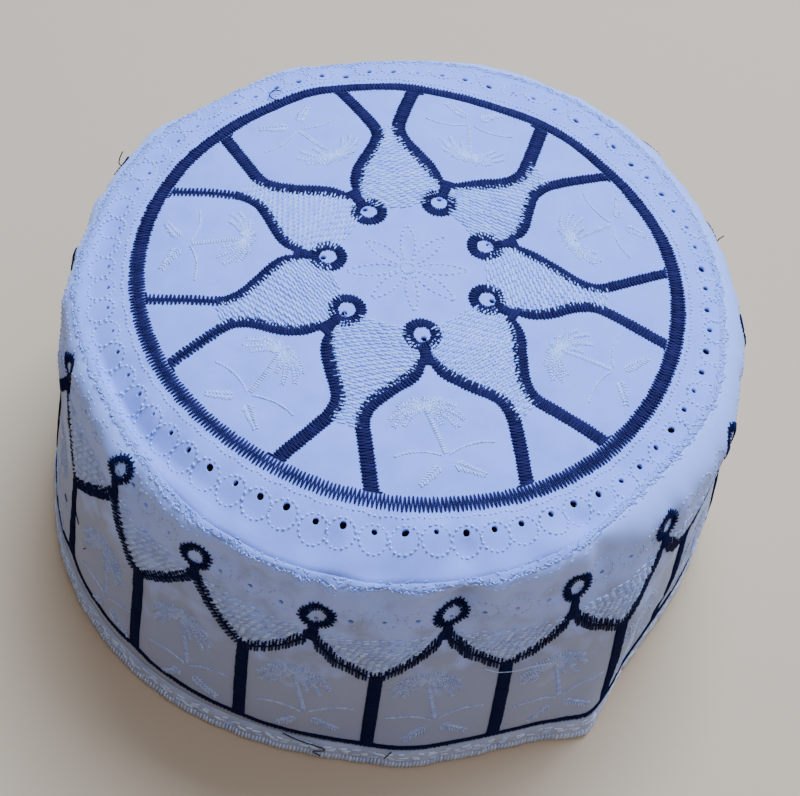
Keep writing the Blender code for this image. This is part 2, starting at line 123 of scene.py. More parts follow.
# azimuth, ring radius, seam radius, seam drop, shoulder radius, mid radius, hem radius
SECTIONS = np.array((
    (-165, 67.5, 82.0, 3.5, 85.2, 89.9, 94.0),
    (-150, 67.4, 81.2, 3.2, 86.2, 91.2, 95.4),
    (-135, 67.2, 81.6, 3.6, 87.2, 92.2, 96.3),
    (-120, 66.8, 85.0, 4.6, 87.6, 92.4, 95.8),
    (-105, 67.1, 85.9, 5.9, 87.4, 91.4, 94.2),
    (-90, 67.3, 85.6, 6.4, 86.9, 90.4, 93.0),
    (-80, 67.4, 85.4, 5.2, 86.4, 90.6, 93.9),
    (-70, 67.7, 85.0, 3.8, 86.6, 90.0, 92.9),
    (-60, 68.1, 84.2, 2.2, 87.2, 90.8, 93.6),
    (-55, 68.0, 82.8, 2.0, 87.2, 91.4, 96.2),
    (-51, 67.9, 81.6, 2.0, 87.0, 92.2, 98.4),
    (-46, 67.7, 80.0, 2.0, 86.8, 93.0, 94.4),
    (-40, 67.4, 78.8, 2.0, 86.6, 90.8, 90.6),
    (-30, 67.1, 78.5, 2.0, 86.4, 88.8, 89.3),
    (-15, 66.8, 79.4, 2.0, 86.2, 88.6, 90.6),
    (0, 66.6, 78.2, 2.0, 85.4, 89.4, 93.2),
    (15, 66.3, 78.4, 2.0, 84.9, 89.0, 93.6),
    (30, 65.9, 79.4, 2.4, 85.8, 89.4, 93.4),
    (45, 65.8, 81.0, 2.6, 88.2, 90.4, 93.2),
    (60, 65.7, 82.0, 2.8, 88.4, 90.6, 93.2),
    (75, 65.6, 82.4, 3.0, 89.4, 91.0, 93.4),
    (90, 65.9, 81.0, 3.0, 87.2, 90.2, 93.4),
    (101, 67.0, 80.0, 3.0, 85.2, 89.2, 93.2),
    (111, 68.0, 79.6, 3.0, 83.9, 88.4, 93.0),
    (120, 68.3, 80.2, 3.0, 86.2, 89.2, 93.0),
    (131, 67.2, 79.4, 3.0, 84.0, 88.4, 93.0),
    (142, 66.9, 79.2, 3.0, 83.8, 88.4, 93.2),
    (152, 67.3, 80.0, 3.0, 85.3, 88.8, 93.4),
    (164, 67.4, 79.8, 3.2, 84.4, 88.6, 93.6),
    (180, 67.4, 80.6, 3.4, 84.6, 88.8, 93.8),
))
RING, SEAM, DROP, SHOULDER, MID, HEM = range(1, 7)
# Soft hollow in the margin: azimuth, radius, half width in degrees, half width in mm, depth
HOLLOW = (-132.0, 79.0, 26.0, 4.0, 1.4)
# Creases in the band: azimuth, drift per mm down, station, half width, half height, depth
CREASES = ((-76.5, 0.10, 72.0, 6.5, 19.0, 1.7), (-54.5, -0.10, 72.0, 5.5, 14.0, 1.1))


def hermite(t, start, leave, end, arrive):
    """Smooth curve between two values that leaves and arrives at given slopes."""
    smooth = 3 * t**2 - 2 * t**3
    return (
        (1 - smooth) * start
        + (t**3 - 2 * t**2 + t) * leave
        + smooth * end
        + (t**3 - t**2) * arrive
    )


def column(azimuth, which):
    """One column of the sections at any azimuths, as a smooth closed curve."""
    known, values = SECTIONS[:, 0], SECTIONS[:, which]
    knots = np.concatenate((known[-2:] - 360, known, known[:3] + 360))
    sizes = np.concatenate((values[-2:], values, values[:3]))
    x = (np.asarray(azimuth, float) - known[0]) % 360 + known[0]
    k = np.clip(np.searchsorted(knots, x, side="right") - 1, 1, len(knots) - 3)
    span = knots[k + 1] - knots[k]
    leave = (sizes[k + 1] - sizes[k - 1]) / (knots[k + 1] - knots[k - 1]) * span
    arrive = (sizes[k + 2] - sizes[k]) / (knots[k + 2] - knots[k]) * span
    return hermite((x - knots[k]) / span, sizes[k], leave, sizes[k + 1], arrive)


def turn_between(angle, reference):
    """Signed difference of azimuths, in degrees."""
    return (angle - reference + 180.0) % 360.0 - 180.0


def polar(radius, azimuth):
    """Plane coordinates of radii and azimuths."""
    return radius * np.cos(np.radians(azimuth)), radius * np.sin(np.radians(azimuth))


def plane_points(radius, azimuth):
    """Plane points of radii and azimuths, one to a row."""
    return np.stack(polar(radius, azimuth), axis=1)


def level_points(radius, azimuth):
    """The same points in space, at height 0."""
    x, y = polar(radius, azimuth)
    return np.stack((x, y, np.zeros_like(x)), axis=1)


def dent(across, width, along, length):
    """Share of a soft oval dent at distances from its middle."""
    return np.exp(-((across / width) ** 2) - (along / length) ** 2)


def plain_crown(x, y):
    """Height of the crown without its needlework dimples, in mm."""
    radius = np.hypot(x, y)
    azimuth = np.degrees(np.arctan2(y, x))
    ring = column(azimuth, RING)
    margin = column(azimuth, SEAM) - ring
    slope = 2 * DOME_RISE / ring
    bend = column(azimuth, DROP) - slope * margin
    out = radius - ring
    inside = CROWN_HEIGHT + DOME_RISE * (1 - (radius / ring) ** 2)
    outside = CROWN_HEIGHT - slope * out - bend * (out / margin) ** 2
    middle, where, wide, deep, depth = HOLLOW
    hollow = depth * dent(turn_between(azimuth, middle), wide, radius - where, deep)
    return np.where(radius < ring, inside, outside) - hollow


def billow(points, wavelength, seed):
    """Soft irregular swelling between -1 and 1 over points in mm, from a few crossing waves."""
    draw = np.random.RandomState(seed)
    total = 0.0
    waves = 7
    for _ in range(waves):
        way = draw.normal(size=3)
        way *= 2 * math.pi / (wavelength * draw.uniform(0.7, 1.4) * np.linalg.norm(way))
        total = total + np.sin(points @ way + draw.uniform(0, 2 * math.pi))
    return total / math.sqrt(waves)


def distance_along(path):
    """Distance from a path's start to each of its points, across the plane."""
    return np.concatenate(([0.0], np.cumsum(np.linalg.norm(np.diff(path[:, :2], axis=0), axis=1))))


def smooth_path(rows, step):
    """A path of (across, up, width) rows as a smooth line with a point every step."""
    rows = np.asarray(rows, float)
    padded = np.vstack((2 * rows[0] - rows[1], rows, 2 * rows[-1] - rows[-2]))
    pieces = []
    for k in range(1, len(padded) - 2):
        a, b, c, d = padded[k - 1 : k + 3]
        gap = np.linalg.norm(c[:2] - b[:2])
        count = max(2, int(math.ceil(gap / 0.2)))
        t = np.linspace(0, 1, count, endpoint=False)[:, None]
        leave = (c - a) * gap / (gap + np.linalg.norm((b - a)[:2]) + 1e-9)
        arrive = (d - b) * gap / (gap + np.linalg.norm((d - c)[:2]) + 1e-9)
        pieces.append(hermite(t, b, leave, c, arrive))
    line = np.vstack((*pieces, rows[-1:]))
    run = distance_along(line)
    count = max(2, int(round(run[-1] / step)) + 1)
    marks = np.linspace(0, run[-1], count)
    return np.stack([np.interp(marks, run, line[:, k]) for k in range(3)], axis=1)


# azimuth, sideways shift of the loop, loop centre from the crown's centre
CROWN_ARCHES = (
    (-76.2, -0.8, 21.9),
    (-23.8, 0.8, 20.4),
    (26.8, 1.0, 19.6),
    (79.5, -0.1, 22.2),
    (129.1, 0.4, 20.4),
    (181.8, 0.4, 21.1),
    (-127.4, -1.0, 22.1),
)
# Legs of each arch, the counterclockwise one first: distance across the arch at six distances
# outward from the loop's centre (LEG_OUT), then the leg's width
LEG_OUT = (11.0, 15.0, 19.0, 23.0, 28.0, 40.0)
CROWN_LEGS = (
    ((3.5, 9.1, 15.4, 17.3, 17.9, 18.0, 3.6), (3.6, 9.9, 15.5, 17.5, 17.5, 17.4, 3.8)),
    ((2.8, 6.2, 11.6, 14.8, 15.7, 15.8, 3.3), (4.3, 10.2, 15.6, 18.1, 18.4, 18.7, 3.7)),
    ((3.2, 8.7, 14.2, 16.4, 17.1, 17.6, 3.3), (5.8, 11.5, 16.8, 18.7, 18.6, 18.2, 3.1)),
    ((5.2, 10.0, 15.0, 17.8, 18.5, 18.7, 3.9), (7.8, 14.6, 17.4, 17.9, 17.9, 18.0, 4.0)),
    ((5.1, 11.1, 15.8, 18.4, 18.7, 18.4, 3.6), (3.0, 6.6, 12.4, 16.8, 18.0, 18.0, 3.6)),
    ((2.8, 8.2, 14.1, 17.2, 17.8, 18.2, 3.0), (3.3, 8.8, 14.7, 17.1, 17.6, 17.7, 3.1)),
    ((4.2, 9.5, 15.6, 17.3, 17.7, 17.8, 3.7), (3.1, 6.9, 14.2, 17.5, 18.0, 18.6, 3.1)),
)
# The first points of a leg, at its loop's throat, and how far out its last one lies
LEG_THROAT = ((1.25, -5.0, 2.0), (1.30, -6.8, 2.2))
LEG_END = 47.0
# Distance below its loop over which an arch's sideways shift fades out
SHIFT_REACH = 24.0
RING_WIDTH = 4.3


def on_arch(row, local):
    """Crown plane points of an arch's own (across, up) points, kept inside the ring."""
    azimuth, shift, loop_out = row
    fade = np.clip((SHIFT_REACH + local[:, 1]) / SHIFT_REACH, 0, 1)
    side = local[:, 0] + shift * fade
    out = loop_out - local[:, 1]
    turned = math.radians(azimuth)
    x = out * math.cos(turned) - side * math.sin(turned)
    y = out * math.sin(turned) + side * math.cos(turned)
    limit = column(np.degrees(np.arctan2(y, x)), RING) - RING_WIDTH / 2
    scale = np.minimum(1.0, limit / np.maximum(np.hypot(x, y), 1e-6))
    return np.stack((x * scale, y * scale), axis=1)


def arch_leg(row, side):
    """Leg of a crown arch on one side (1 counterclockwise, -1 clockwise), throat to foot."""
    *reaches, width = CROWN_LEGS[CROWN_ARCHES.index(row)][0 if side > 0 else 1]
    leg = [*LEG_THROAT, *((across, -out, width) for across, out in zip(reaches, LEG_OUT))]
    leg.append((reaches[-1], -LEG_END, width))
    return smooth_path(leg, 0.5) * (side, 1, 1)


def nearest(points, marks):
    """Distance from each plane point to the nearest mark."""
    best = np.full(len(points), 1e9)
    for start in range(0, len(marks), 64):
        block = marks[start : start + 64]
        gap = points[:, None, :] - block[None, :, :]
        best = np.minimum(best, np.sqrt((gap**2).sum(2)).min(1))
    return best


def relief_map(height_at, azimuth_count, low, high, count):
    """A closed map of relief over azimuth and distance, read back by interpolation."""
    azimuths = np.arange(azimuth_count) * 360.0 / azimuth_count
    places = np.linspace(low, high, count)
    grid_a, grid_p = np.meshgrid(azimuths, places, indexing="ij")
    relief = height_at(grid_a.ravel(), grid_p.ravel()).reshape(grid_a.shape)

    def read(azimuth, place):
        u = (np.asarray(azimuth) % 360.0) * azimuth_count / 360.0
        v = np.clip((np.asarray(place) - low) / (high - low) * (count - 1), 0, count - 1.001)
        i, j = np.floor(u).astype(int), np.floor(v).astype(int)
        s, t = u - i, v - j
        i0, i1 = i % azimuth_count, (i + 1) % azimuth_count
        near = relief[i0, j] * (1 - t) + relief[i0, j + 1] * t
        far = relief[i1, j] * (1 - t) + relief[i1, j + 1] * t
        return near * (1 - s) + far * s

    return read


satin_marks = []
for arch in CROWN_ARCHES:
    for side in (1, -1):
        satin_marks.append(on_arch(arch, arch_leg(arch, side)[::3, :2]))
ring_azimuths = np.arange(0, 360, 1.5)
satin_marks.append(plane_points(column(ring_azimuths, RING), ring_azimuths))
satin_marks = np.vstack(satin_marks)
EYELET_COUNT = 70
EYELET_RADIUS = 74.6
PINHOLE = 0.75
# Creases across the seam at the front, the third one faint: azimuth, radius on the crown,
# station on the band, depth
SEAM_CREASES = ((-75.0, 78.5, 76.0, 1.5), (-54.0, 79.0, 79.0, 1.5), (-96.0, 79.5, 76.0, 0.6))
# The crumpled margin at the far left: azimuth, radius, half width in degrees and in mm, depth
CRUMPLE = (-138.0, 79.2, 22.0, 3.0, 1.5)
CREASE_WIDTH_CROWN, CREASE_WIDTH_BAND = 2.0, 1.8
QUILTED_RADIUS = 22.0


def crown_relief(azimuth, radius):
    """Dimples and puffs of the crown: pinched at the satin, puckered in the margin."""
    points = level_points(radius, azimuth)
    gap = nearest(points[:, :2], satin_marks)
    field = radius < column(azimuth, RING) + 2
    pinch = -0.30 * np.exp(-((gap / 2.6) ** 2)) + 0.16 * np.exp(-(((gap - 7.0) / 4.0) ** 2)) * field
    soft = 0.38 * billow(points, 42, 3) + 0.16 * billow(points, 16, 4) + 0.05 * billow(points, 6, 5)
    margin = np.clip((radius - 69.0) / 4.0, 0, 1)
    wave = np.sin(np.radians(azimuth) * EYELET_COUNT / 2 + 2.2 * billow(points, 40, 6))
    pucker = margin * (0.16 * wave + 0.46 * billow(points, 13, 7) + 0.28 * billow(points, 24, 8))
    middle, where, wide, deep, depth = CRUMPLE
    dip = -depth * dent(turn_between(azimuth, middle), wide, radius - where, deep)
    for at, out, _, depth in SEAM_CREASES:
        dip -= depth * dent(turn_between(azimuth, at), CREASE_WIDTH_CROWN, radius - out, 3.0)
    star = np.clip(1 - radius / QUILTED_RADIUS, 0, 1)
    quilt = star * 0.20 * np.cos(np.radians(azimuth) * 8) * np.clip(radius / 8.0, 0, 1)
    return pinch + soft + pucker + dip + quilt


crown_map = relief_map(crown_relief, 720, 0.0, 90.0, 181)


def to_world(x, y, z):
    """World metres of cap centred mm."""
    return np.stack((x - CENTRE[0], y - CENTRE[1], z), axis=-1) * MM


def raised(place, normal, lift):
    """World points moved out along their normals by heights in mm."""
    return place + normal * np.asarray(lift)[..., None] * MM


def crown_height(x, y):
    """Height of the crown's cloth with its dimples, in mm."""
    azimuth = np.degrees(np.arctan2(y, x))
    radius = np.hypot(x, y)
    fade = np.clip((column(azimuth, SEAM) - radius) / 2.5, 0, 1)
    return plain_crown(x, y) + crown_map(azimuth, radius) * fade


def on_crown(plane, lift=0.0):
    """World points and normals on the crown cloth at plane points in mm."""
    x, y = plane[:, 0], plane[:, 1]
    step = 0.6
    slope_x = (crown_height(x + step, y) - crown_height(x - step, y)) / (2 * step)
    slope_y = (crown_height(x, y + step) - crown_height(x, y - step)) / (2 * step)
    normal = np.stack((-slope_x, -slope_y, np.ones_like(x)), axis=1)
    normal /= np.linalg.norm(normal, axis=1)[:, None]
    return raised(to_world(x, y, crown_height(x, y)), normal, lift), normal


def wire(tree, rows, **made):
    """Add (name, kind, settings, inputs) nodes to a tree; made are nodes that it has already.

    An input is a value, a link as "name > output", or a list of links.
    """
    for name, kind, settings, inputs in rows:
        made[name] = made.get(name) or tree.nodes.new(kind)
        for setting, value in settings.items():
            setattr(made[name], setting, value)
        for socket, value in inputs.items():
            for entry in value if isinstance(value, list) else [value]:
                if isinstance(entry, str) and " > " in entry:
                    source, output = entry.split(" > ")
                    tree.links.new(made[source].outputs[output], made[name].inputs[socket])
                else:
                    made[name].inputs[socket].default_value = entry


def group_tree(name, kind, inputs, outputs):
    """An empty node group with named inputs (name, type, value or None) and outputs (name, type)."""
    group = bpy.data.node_groups.new(name, kind)
    for label, socket, value in inputs:
        made = group.interface.new_socket(label, in_out="INPUT", socket_type=f"NodeSocket{socket}")
        if value is not None:
            made.default_value = value
    for label, socket in outputs:
        group.interface.new_socket(label, in_out="OUTPUT", socket_type=f"NodeSocket{socket}")
    return group


ENTER, LEAVE, SPLIT = "NodeGroupInput", "NodeGroupOutput", "ShaderNodeSeparateXYZ"
MATH, MIX, REMAP, BUMP = (f"ShaderNode{kind}" for kind in ("Math", "Mix", "MapRange", "Bump"))
TIMES, TIMES_PLUS, SINE = ({"operation": way} for way in ("MULTIPLY", "MULTIPLY_ADD", "SINE"))
COLOURS = {"data_type": "RGBA"}

# Node group: plain weave of fine yarn on a flat coordinate in mm, with soft mottling
plain_weave = group_tree(
    "plain_weave",
    "ShaderNodeTree",
    (
        ("Cloth Place", "Vector", None),
        ("Yarns per mm", "Float", 2.4),
        ("Yarn Contrast", "Float", 0.3),
        ("Mottle Size", "Float", 0.05),
    ),
    (("Yarn Height", "Float"), ("Mottle", "Float"), ("Soil", "Float")),
)
weave_rows = [("enter", ENTER, {}, {}), ("split", SPLIT, {}, {0: "enter > Cloth Place"})]
for axis in ("X", "Y"):
    weave_rows += [
        (f"along{axis}", MATH, TIMES, {0: f"split > {axis}", 1: "enter > Yarns per mm"}),
        (f"circle{axis}", MATH, TIMES, {0: f"along{axis} > Value", 1: math.pi}),
        (f"wave{axis}", MATH, SINE, {0: f"circle{axis} > Value"}),
    ]
weave_rows += [
    ("cross", MATH, TIMES, {0: "waveX > Value", 1: "waveY > Value"}),
    ("scaled", MATH, TIMES_PLUS, {0: "cross > Value", 1: "enter > Yarn Contrast", 2: 0.5}),
]
for name, detail, ratio in (("Mottle", 4.0, 1.0), ("Soil", 3.0, 0.22)):
    place, scale = "enter > Cloth Place", f"size{name} > Value"
    weave_rows += [
        (f"size{name}", MATH, TIMES, {0: "enter > Mottle Size", 1: ratio}),
        (name, "ShaderNodeTexNoise", {}, {"Detail": detail, "Vector": place, "Scale": scale}),
    ]
weave_outputs = {"Yarn Height": "scaled > Value", "Mottle": "Mottle > Fac", "Soil": "Soil > Fac"}
wire(plain_weave, weave_rows + [("leave", LEAVE, {}, weave_outputs)])


# Height over which the band's painted shade clears, in mm
SHADE_CLEARING = 40.0


def cloth_finish(name, bright, dull, yarns, shaded_below=None):
    """White stiffened cotton: weave, faint mottling and a trace of handling grey.

    With shaded_below, painted shade, a grey standing for the weaker light on the lower wall, gathers below
    that height in mm and clears above it.
    """
    made, shader = principled(name, bright, 0.78)
    soil_and_shade = "weave > Soil"
    woven = {"Yarns per mm": yarns, "Yarn Contrast": 0.5, "Mottle Size": 0.6}
    rows = [
        ("place", "ShaderNodeUVMap", {"uv_map": "cloth_mm"}, {}),
        ("weave", "ShaderNodeGroup", {"node_tree": plain_weave}, {**woven, "Cloth Place": "place > UV"}),
    ]
    if shaded_below is not None:
        # Painted shade: the random handling grey is deepened further down the band and lifted higher up
        soil_and_shade = "gathered > Value"
        span = {"From Min": shaded_below, "From Max": shaded_below + SHADE_CLEARING, "To Max": 0.45}
        rows += [
            ("split", SPLIT, {}, {0: "place > UV"}),
            ("climb", REMAP, {"clamp": False}, {**span, "Value": "split > Y"}),
            ("gathered", MATH, {}, {0: "weave > Soil", 1: "climb > Result"}),
        ]
    blend = {"A": (*dull, 1.0), "B": (*bright, 1.0), "Factor": "amount > Result"}
    speck = {"Factor": 0.22, "A": "blend > Result", "B": "tone > Result"}
    sheen = {"Sheen Weight": 0.25, "Sheen Roughness": 0.5, "Subsurface Weight": 0.0}
    rows += [
        ("amount", REMAP, {}, {"From Min": 0.32, "From Max": 0.62, "Value": soil_and_shade}),
        ("blend", MIX, COLOURS, blend),
        ("tone", REMAP, {}, {"To Min": 0.72, "To Max": 1.0, "Value": "weave > Mottle"}),
        ("speck", MIX, {**COLOURS, "blend_type": "MULTIPLY"}, speck),
        ("height", MATH, TIMES_PLUS, {0: "weave > Mottle", 1: 0.5, 2: "weave > Yarn Height"}),
        ("bump", BUMP, {}, {"Strength": 0.10, "Distance": 0.00022, "Height": "height > Value"}),
        ("shader", "", {}, {"Base Color": "speck > Result", "Normal": "bump > Normal", **sheen}),
    ]
    wire(made.node_tree, rows, shader=shader)
    return made


crown_finish = cloth_finish("crown_cotton", (0.36, 0.43, 0.93), (0.32, 0.385, 0.87), 2.9)


def lattice(columns, rows, holes):
    """Closed lattice of (azimuth, row) cells with round holes, each in a block of 4 by 4 cells.

    columns are azimuths, rows are row numbers, and a hole is (column, row, centre azimuth,
    centre row value, radius across, radius along). Returns (azimuth, row value) and faces.
    """
    count, height = len(columns), len(rows)
    index = -np.ones((count, height), int)
    inside, blocked = np.zeros((2, count, height), bool)
    for i, j, *_ in holes:
        for a in range(4):
            for b in range(4):
                blocked[(i + a) % count, j + b] = True
                inside[(i + a) % count, j + b] |= a > 0 and b > 0
    places, faces = [], []
    for i in range(count):
        for j in range(height):
            if not inside[i, j]:
                index[i, j] = len(places)
                places.append((columns[i], rows[j]))
    for i in range(count):
        for j in range(height - 1):
            if not blocked[i, j]:
                n = (i + 1) % count
                faces.append((index[i, j], index[n, j], index[n, j + 1], index[i, j + 1]))
    border = [(a, 0) for a in range(4)] + [(4, b) for b in range(4)]
    border += [(a, 4) for a in range(4, 0, -1)] + [(0, b) for b in range(4, 0, -1)]
    for i, j, centre_a, centre_r, wide, tall in holes:
        outer = [index[(i + a) % count, j + b] for a, b in border]
        for grow in (1.25, 1.0):
            ring = []
            for a, b in border:
                angle = math.atan2(b - 2, a - 2)
                ring.append(len(places))
                spot_a = centre_a + wide * grow * math.cos(angle)
                places.append((spot_a, centre_r + tall * grow * math.sin(angle)))
            for k in range(len(border)):
                n = (k + 1) % len(border)
                faces.append((outer[k], outer[n], ring[n], ring[k]))
            outer = ring
    return np.array(places, float), faces


def cloth_piece(name, points, faces, flat, finish, thickness):
    """A cloth surface with a flat coordinate in mm, given its thickness inwards."""
    mesh = bpy.data.meshes.new(name)
    mesh.from_pydata([tuple(p) for p in points], [], faces)
    layer = mesh.uv_layers.new(name="cloth_mm")
    corner = np.zeros(len(mesh.loops), int)
    mesh.loops.foreach_get("vertex_index", corner)
    layer.data.foreach_set("uv", flat[corner].astype(np.float32).ravel())
    mesh.shade_smooth()
    mesh.materials.append(finish)
    piece = bpy.data.objects.new(name, mesh)
    bpy.context.scene.collection.objects.link(piece)
    if thickness:
        solidify = piece.modifiers.new("thickness", "SOLIDIFY")
        solidify.thickness = thickness * MM
        solidify.offset = -1.0
        settle(piece)
    return piece


def settle(piece):
    """Turn a piece's modifiers into its plain mesh."""
    graph = bpy.context.evaluated_depsgraph_get()
    made = bpy.data.meshes.new_from_object(piece.evaluated_get(graph))
    piece.modifiers.clear()
    old = piece.data
    piece.data = made
    made.name = piece.name
    bpy.data.meshes.remove(old)


ROW_STEP = 1.5
# The eyelets are punched smaller over the far left, between these azimuths
SMALL_EYELETS, SMALL_SHARE = (140, 232), 0.62
# Row numbers past this stand for shares of the way from the last eyelet row to the edge
EDGE_ROWS = 99.0

draw = np.random.RandomState(11)
azimuths = np.arange(EYELET_COUNT * 4) * 360.0 / (EYELET_COUNT * 4)
eyelet_rows = [EYELET_RADIUS + k * ROW_STEP for k in (-2, -1, 0, 1, 2)]
row_values = [r for r in np.arange(ROW_STEP, 71.0, ROW_STEP) if r < eyelet_rows[0] - 0.8] + eyelet_rows
eyelet_row = len(row_values) - 5
row_values += [EDGE_ROWS + k for k in (1, 2, 3, 4)]
crown_eyelets, holes = [], []
for k in range(EYELET_COUNT):
    middle = (k * 4 + 2) * 360.0 / (EYELET_COUNT * 4) + draw.uniform(-0.25, 0.25)
    out = EYELET_RADIUS + draw.uniform(-0.35, 0.35)
    size = draw.uniform(0.62, 0.95) * (SMALL_SHARE if SMALL_EYELETS[0] < middle < SMALL_EYELETS[1] else 1.0)
    crown_eyelets.append((middle, out))
    holes.append((k * 4, eyelet_row, middle, out, math.degrees(size / out), size))
for arch_azimuth, shift, loop_out in CROWN_ARCHES:
    middle = (arch_azimuth + math.degrees((shift + 0.3) / loop_out)) % 360.0
    out = loop_out + 1.2
    index = int(round(middle / 360.0 * len(azimuths))) - 2
    row = int(np.argmin(np.abs(np.array(row_values[:eyelet_row]) - out))) - 2
    holes.append((index, row, middle, out, math.degrees(PINHOLE / out), PINHOLE))
places, faces = lattice(azimuths, row_values, holes)
azimuth, radius = places[:, 0], places[:, 1].copy()
edge = column(azimuth, SEAM) - 0.1
share = np.clip((radius - EDGE_ROWS) / 4.0, 0, 1)
radius = np.where(radius > EDGE_ROWS, eyelet_rows[-1] + (edge - eyelet_rows[-1]) * share, radius)
plane = plane_points(radius, azimuth)
first = [i for i, (a, r) in enumerate(places) if r == row_values[0]]
hub = len(plane)
plane = np.vstack((plane, (0.0, 0.0)))
for k in range(len(first)):
    faces.append((first[k], hub, first[(k + 1) % len(first)]))
faces = [tuple(reversed(face)) for face in faces]
crown_points, _ = on_crown(plane)
crown = cloth_piece("crown_cotton_disc", crown_points, faces, plane, crown_finish, CLOTH)
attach(crown, "root")
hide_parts("crown_cloth")

# Side band
# The upright band: one strip of the same cotton with the needlework on it, seamed into a tube
# and turned over at the top. It is creased below the seam at the front and pinched at one corner.
HEM_TOP = 8.5
SHOULDER_FULLNESS = 1.1
# Side arches: peak azimuth, azimuth of the post at the right, loop centre, peak, valley, post foot
SIDE_ARCHES = (
    (-155.5, -146.0, 73.0, 66.5, 47.0, 14.5),
    (-133.5, -126.5, 75.0, 65.5, 46.5, 13.5),
    (-116.3, -107.0, 68.5, 61.0, 44.5, 11.5),
    (-97.0, -86.6, 65.0, 56.8, 42.5, 10.0),
    (-77.0, -66.6, 66.5, 58.4, 44.0, 10.0),
    (-57.0, -47.4, 68.5, 58.0, 46.0, 10.0),
    (-39.6, -30.0, 72.5, 65.5, 53.5, 10.0),
    (-20.6, -9.0, 74.0, 66.5, 53.0, 10.0),
    (3.0, 14.5, 74.0, 66.0, 51.0, 10.0),
    (26.0, 37.0, 73.0, 65.0, 49.0, 10.5),
    (48.0, 59.5, 73.0, 64.5, 46.0, 11.0),
    (71.0, 82.0, 73.0, 64.5, 46.0, 11.5),
    (93.0, 104.5, 73.0, 64.5, 46.0, 12.0),
    (116.0, 126.8, 73.0, 64.5, 46.0, 12.5),
    (138.0, 149.0, 73.0, 65.0, 46.0, 13.0),
    (160.0, 171.0, 73.0, 65.5, 46.5, 13.5),
    (182.5, 193.5, 73.0, 66.0, 47.0, 14.0),
)
ARCH_COUNT = len(SIDE_ARCHES)
# Points along a flank, on its right and its left side: shares of the way across and down
FLANKS = {
    1: ((0.10, 0.12), (0.22, 0.27), (0.42, 0.55), (0.62, 0.72), (0.82, 0.90)),
    -1: ((0.10, 0.10), (0.22, 0.25), (0.42, 0.48), (0.62, 0.68), (0.82, 0.85)),
}
# Neck between the loop and the peak: distance up from the peak, and width
NECK = ((2.0, 2.7), (-1.2, 3.6))


def around(azimuth, pairs):
    """Value at any azimuths between (azimuth, value) pairs given once around."""
    knots = np.array(pairs, float)
    knots = knots[np.argsort(knots[:, 0] % 360)]
    angles = np.concatenate((knots[-1:, 0] % 360 - 360, knots[:, 0] % 360, knots[:1, 0] % 360 + 360))
    values = np.concatenate((knots[-1:, 1], knots[:, 1], knots[:1, 1]))
    return np.interp(np.asarray(azimuth, float) % 360, angles, values)


def seam_height(azimuth):
    """Height of the seam where the crown's margin ends."""
    return plain_crown(*polar(column(azimuth, SEAM), azimuth))


def shoulder_length(azimuth):
    """Length of the band's rolled shoulder up to the seam."""
    inward = column(azimuth, SHOULDER) - column(azimuth, SEAM)
    climb = seam_height(azimuth) - CROWN_HEIGHT + SHOULDER_DROP
    return SHOULDER_FULLNESS * np.hypot(inward, climb)


def seam_station(azimuth):
    """Station of the seam, measured up the band."""
    return CROWN_HEIGHT - SHOULDER_DROP + shoulder_length(azimuth)


def plain_wall(azimuth, station):
    """Radius, height and share of the shoulder of the band's outer face, in mm."""
    turn_at = CROWN_HEIGHT - SHOULDER_DROP
    hem, mid, shoulder = (column(azimuth, which) for which in (HEM, MID, SHOULDER))
    s, m, e = np.minimum(station, turn_at), MID_STATION, turn_at
    upright = hem * (s - m) * (s - e) / (m * e) + mid * s * (s - e) / (m * (m - e))
    upright = upright + shoulder * s * (s - m) / (e * (e - m))
    length = shoulder_length(azimuth)
    u = np.clip((station - turn_at) / length, 0, 1)
    seam, top = column(azimuth, SEAM), seam_height(azimuth)
    slope = plain_crown(*polar(seam - 1.0, azimuth)) - top
    run = length / np.hypot(1.0, slope)
    end = 3 * u**2 - 2 * u**3
    leave, arrive = u**3 - 2 * u**2 + u, u**3 - u**2
    rolled = (1 - end) * shoulder + end * seam - arrive * run
    climbed = (1 - end) * turn_at + leave * length + end * top + arrive * run * slope
    radius = np.where(station > turn_at, rolled, upright)
    height = np.where(station > turn_at, climbed, s)
    for middle, drift, where, wide, tall, depth in CREASES:
        aside = np.radians(turn_between(azimuth, middle + drift * (where - station))) * radius
        radius = radius - (1 - u) * depth * dent(aside, wide, station - where, tall)
    return radius, height, u


def flat_scale(azimuth):
    """Degrees of azimuth per mm around the band."""
    return 180.0 / (math.pi * column(azimuth, MID))


def side_half(row, reach, side, post):
    """Flank and post of a side arch: (across, up from the loop's centre, width)."""
    _, _, loop, peak, valley, foot = row
    if side < 0:
        valley = SIDE_ARCHES[SIDE_ARCHES.index(row) - 1][4]
    flank = [(0.5, peak - loop + 1.0, 2.6)]
    for across_share, down in FLANKS[side]:
        flank.append((across_share * reach, peak - loop + (valley - peak) * down, 3.6))
    flank.append((reach, valley - loop, 3.4))
    stem = []
    if post:
        stem = [(reach, valley - loop + 1.0, 3.5), (reach, (valley + foot) / 2 - loop, 3.6)]
        stem.append((reach, foot - loop - 0.3, 3.5))
    return flank, stem


def arch_reaches(k):
    """Distance from a side arch's peak to the post on its right and on its left, in mm."""
    peak, post = SIDE_ARCHES[k][:2]
    left_post = SIDE_ARCHES[k - 1][1] - (360 if k == 0 else 0)
    scale = flat_scale(peak)
    return (post - peak) / scale, (peak - left_post) / scale


# Mean radius of the band's face, by which distances around it are read
BAND_RADIUS = 90.0

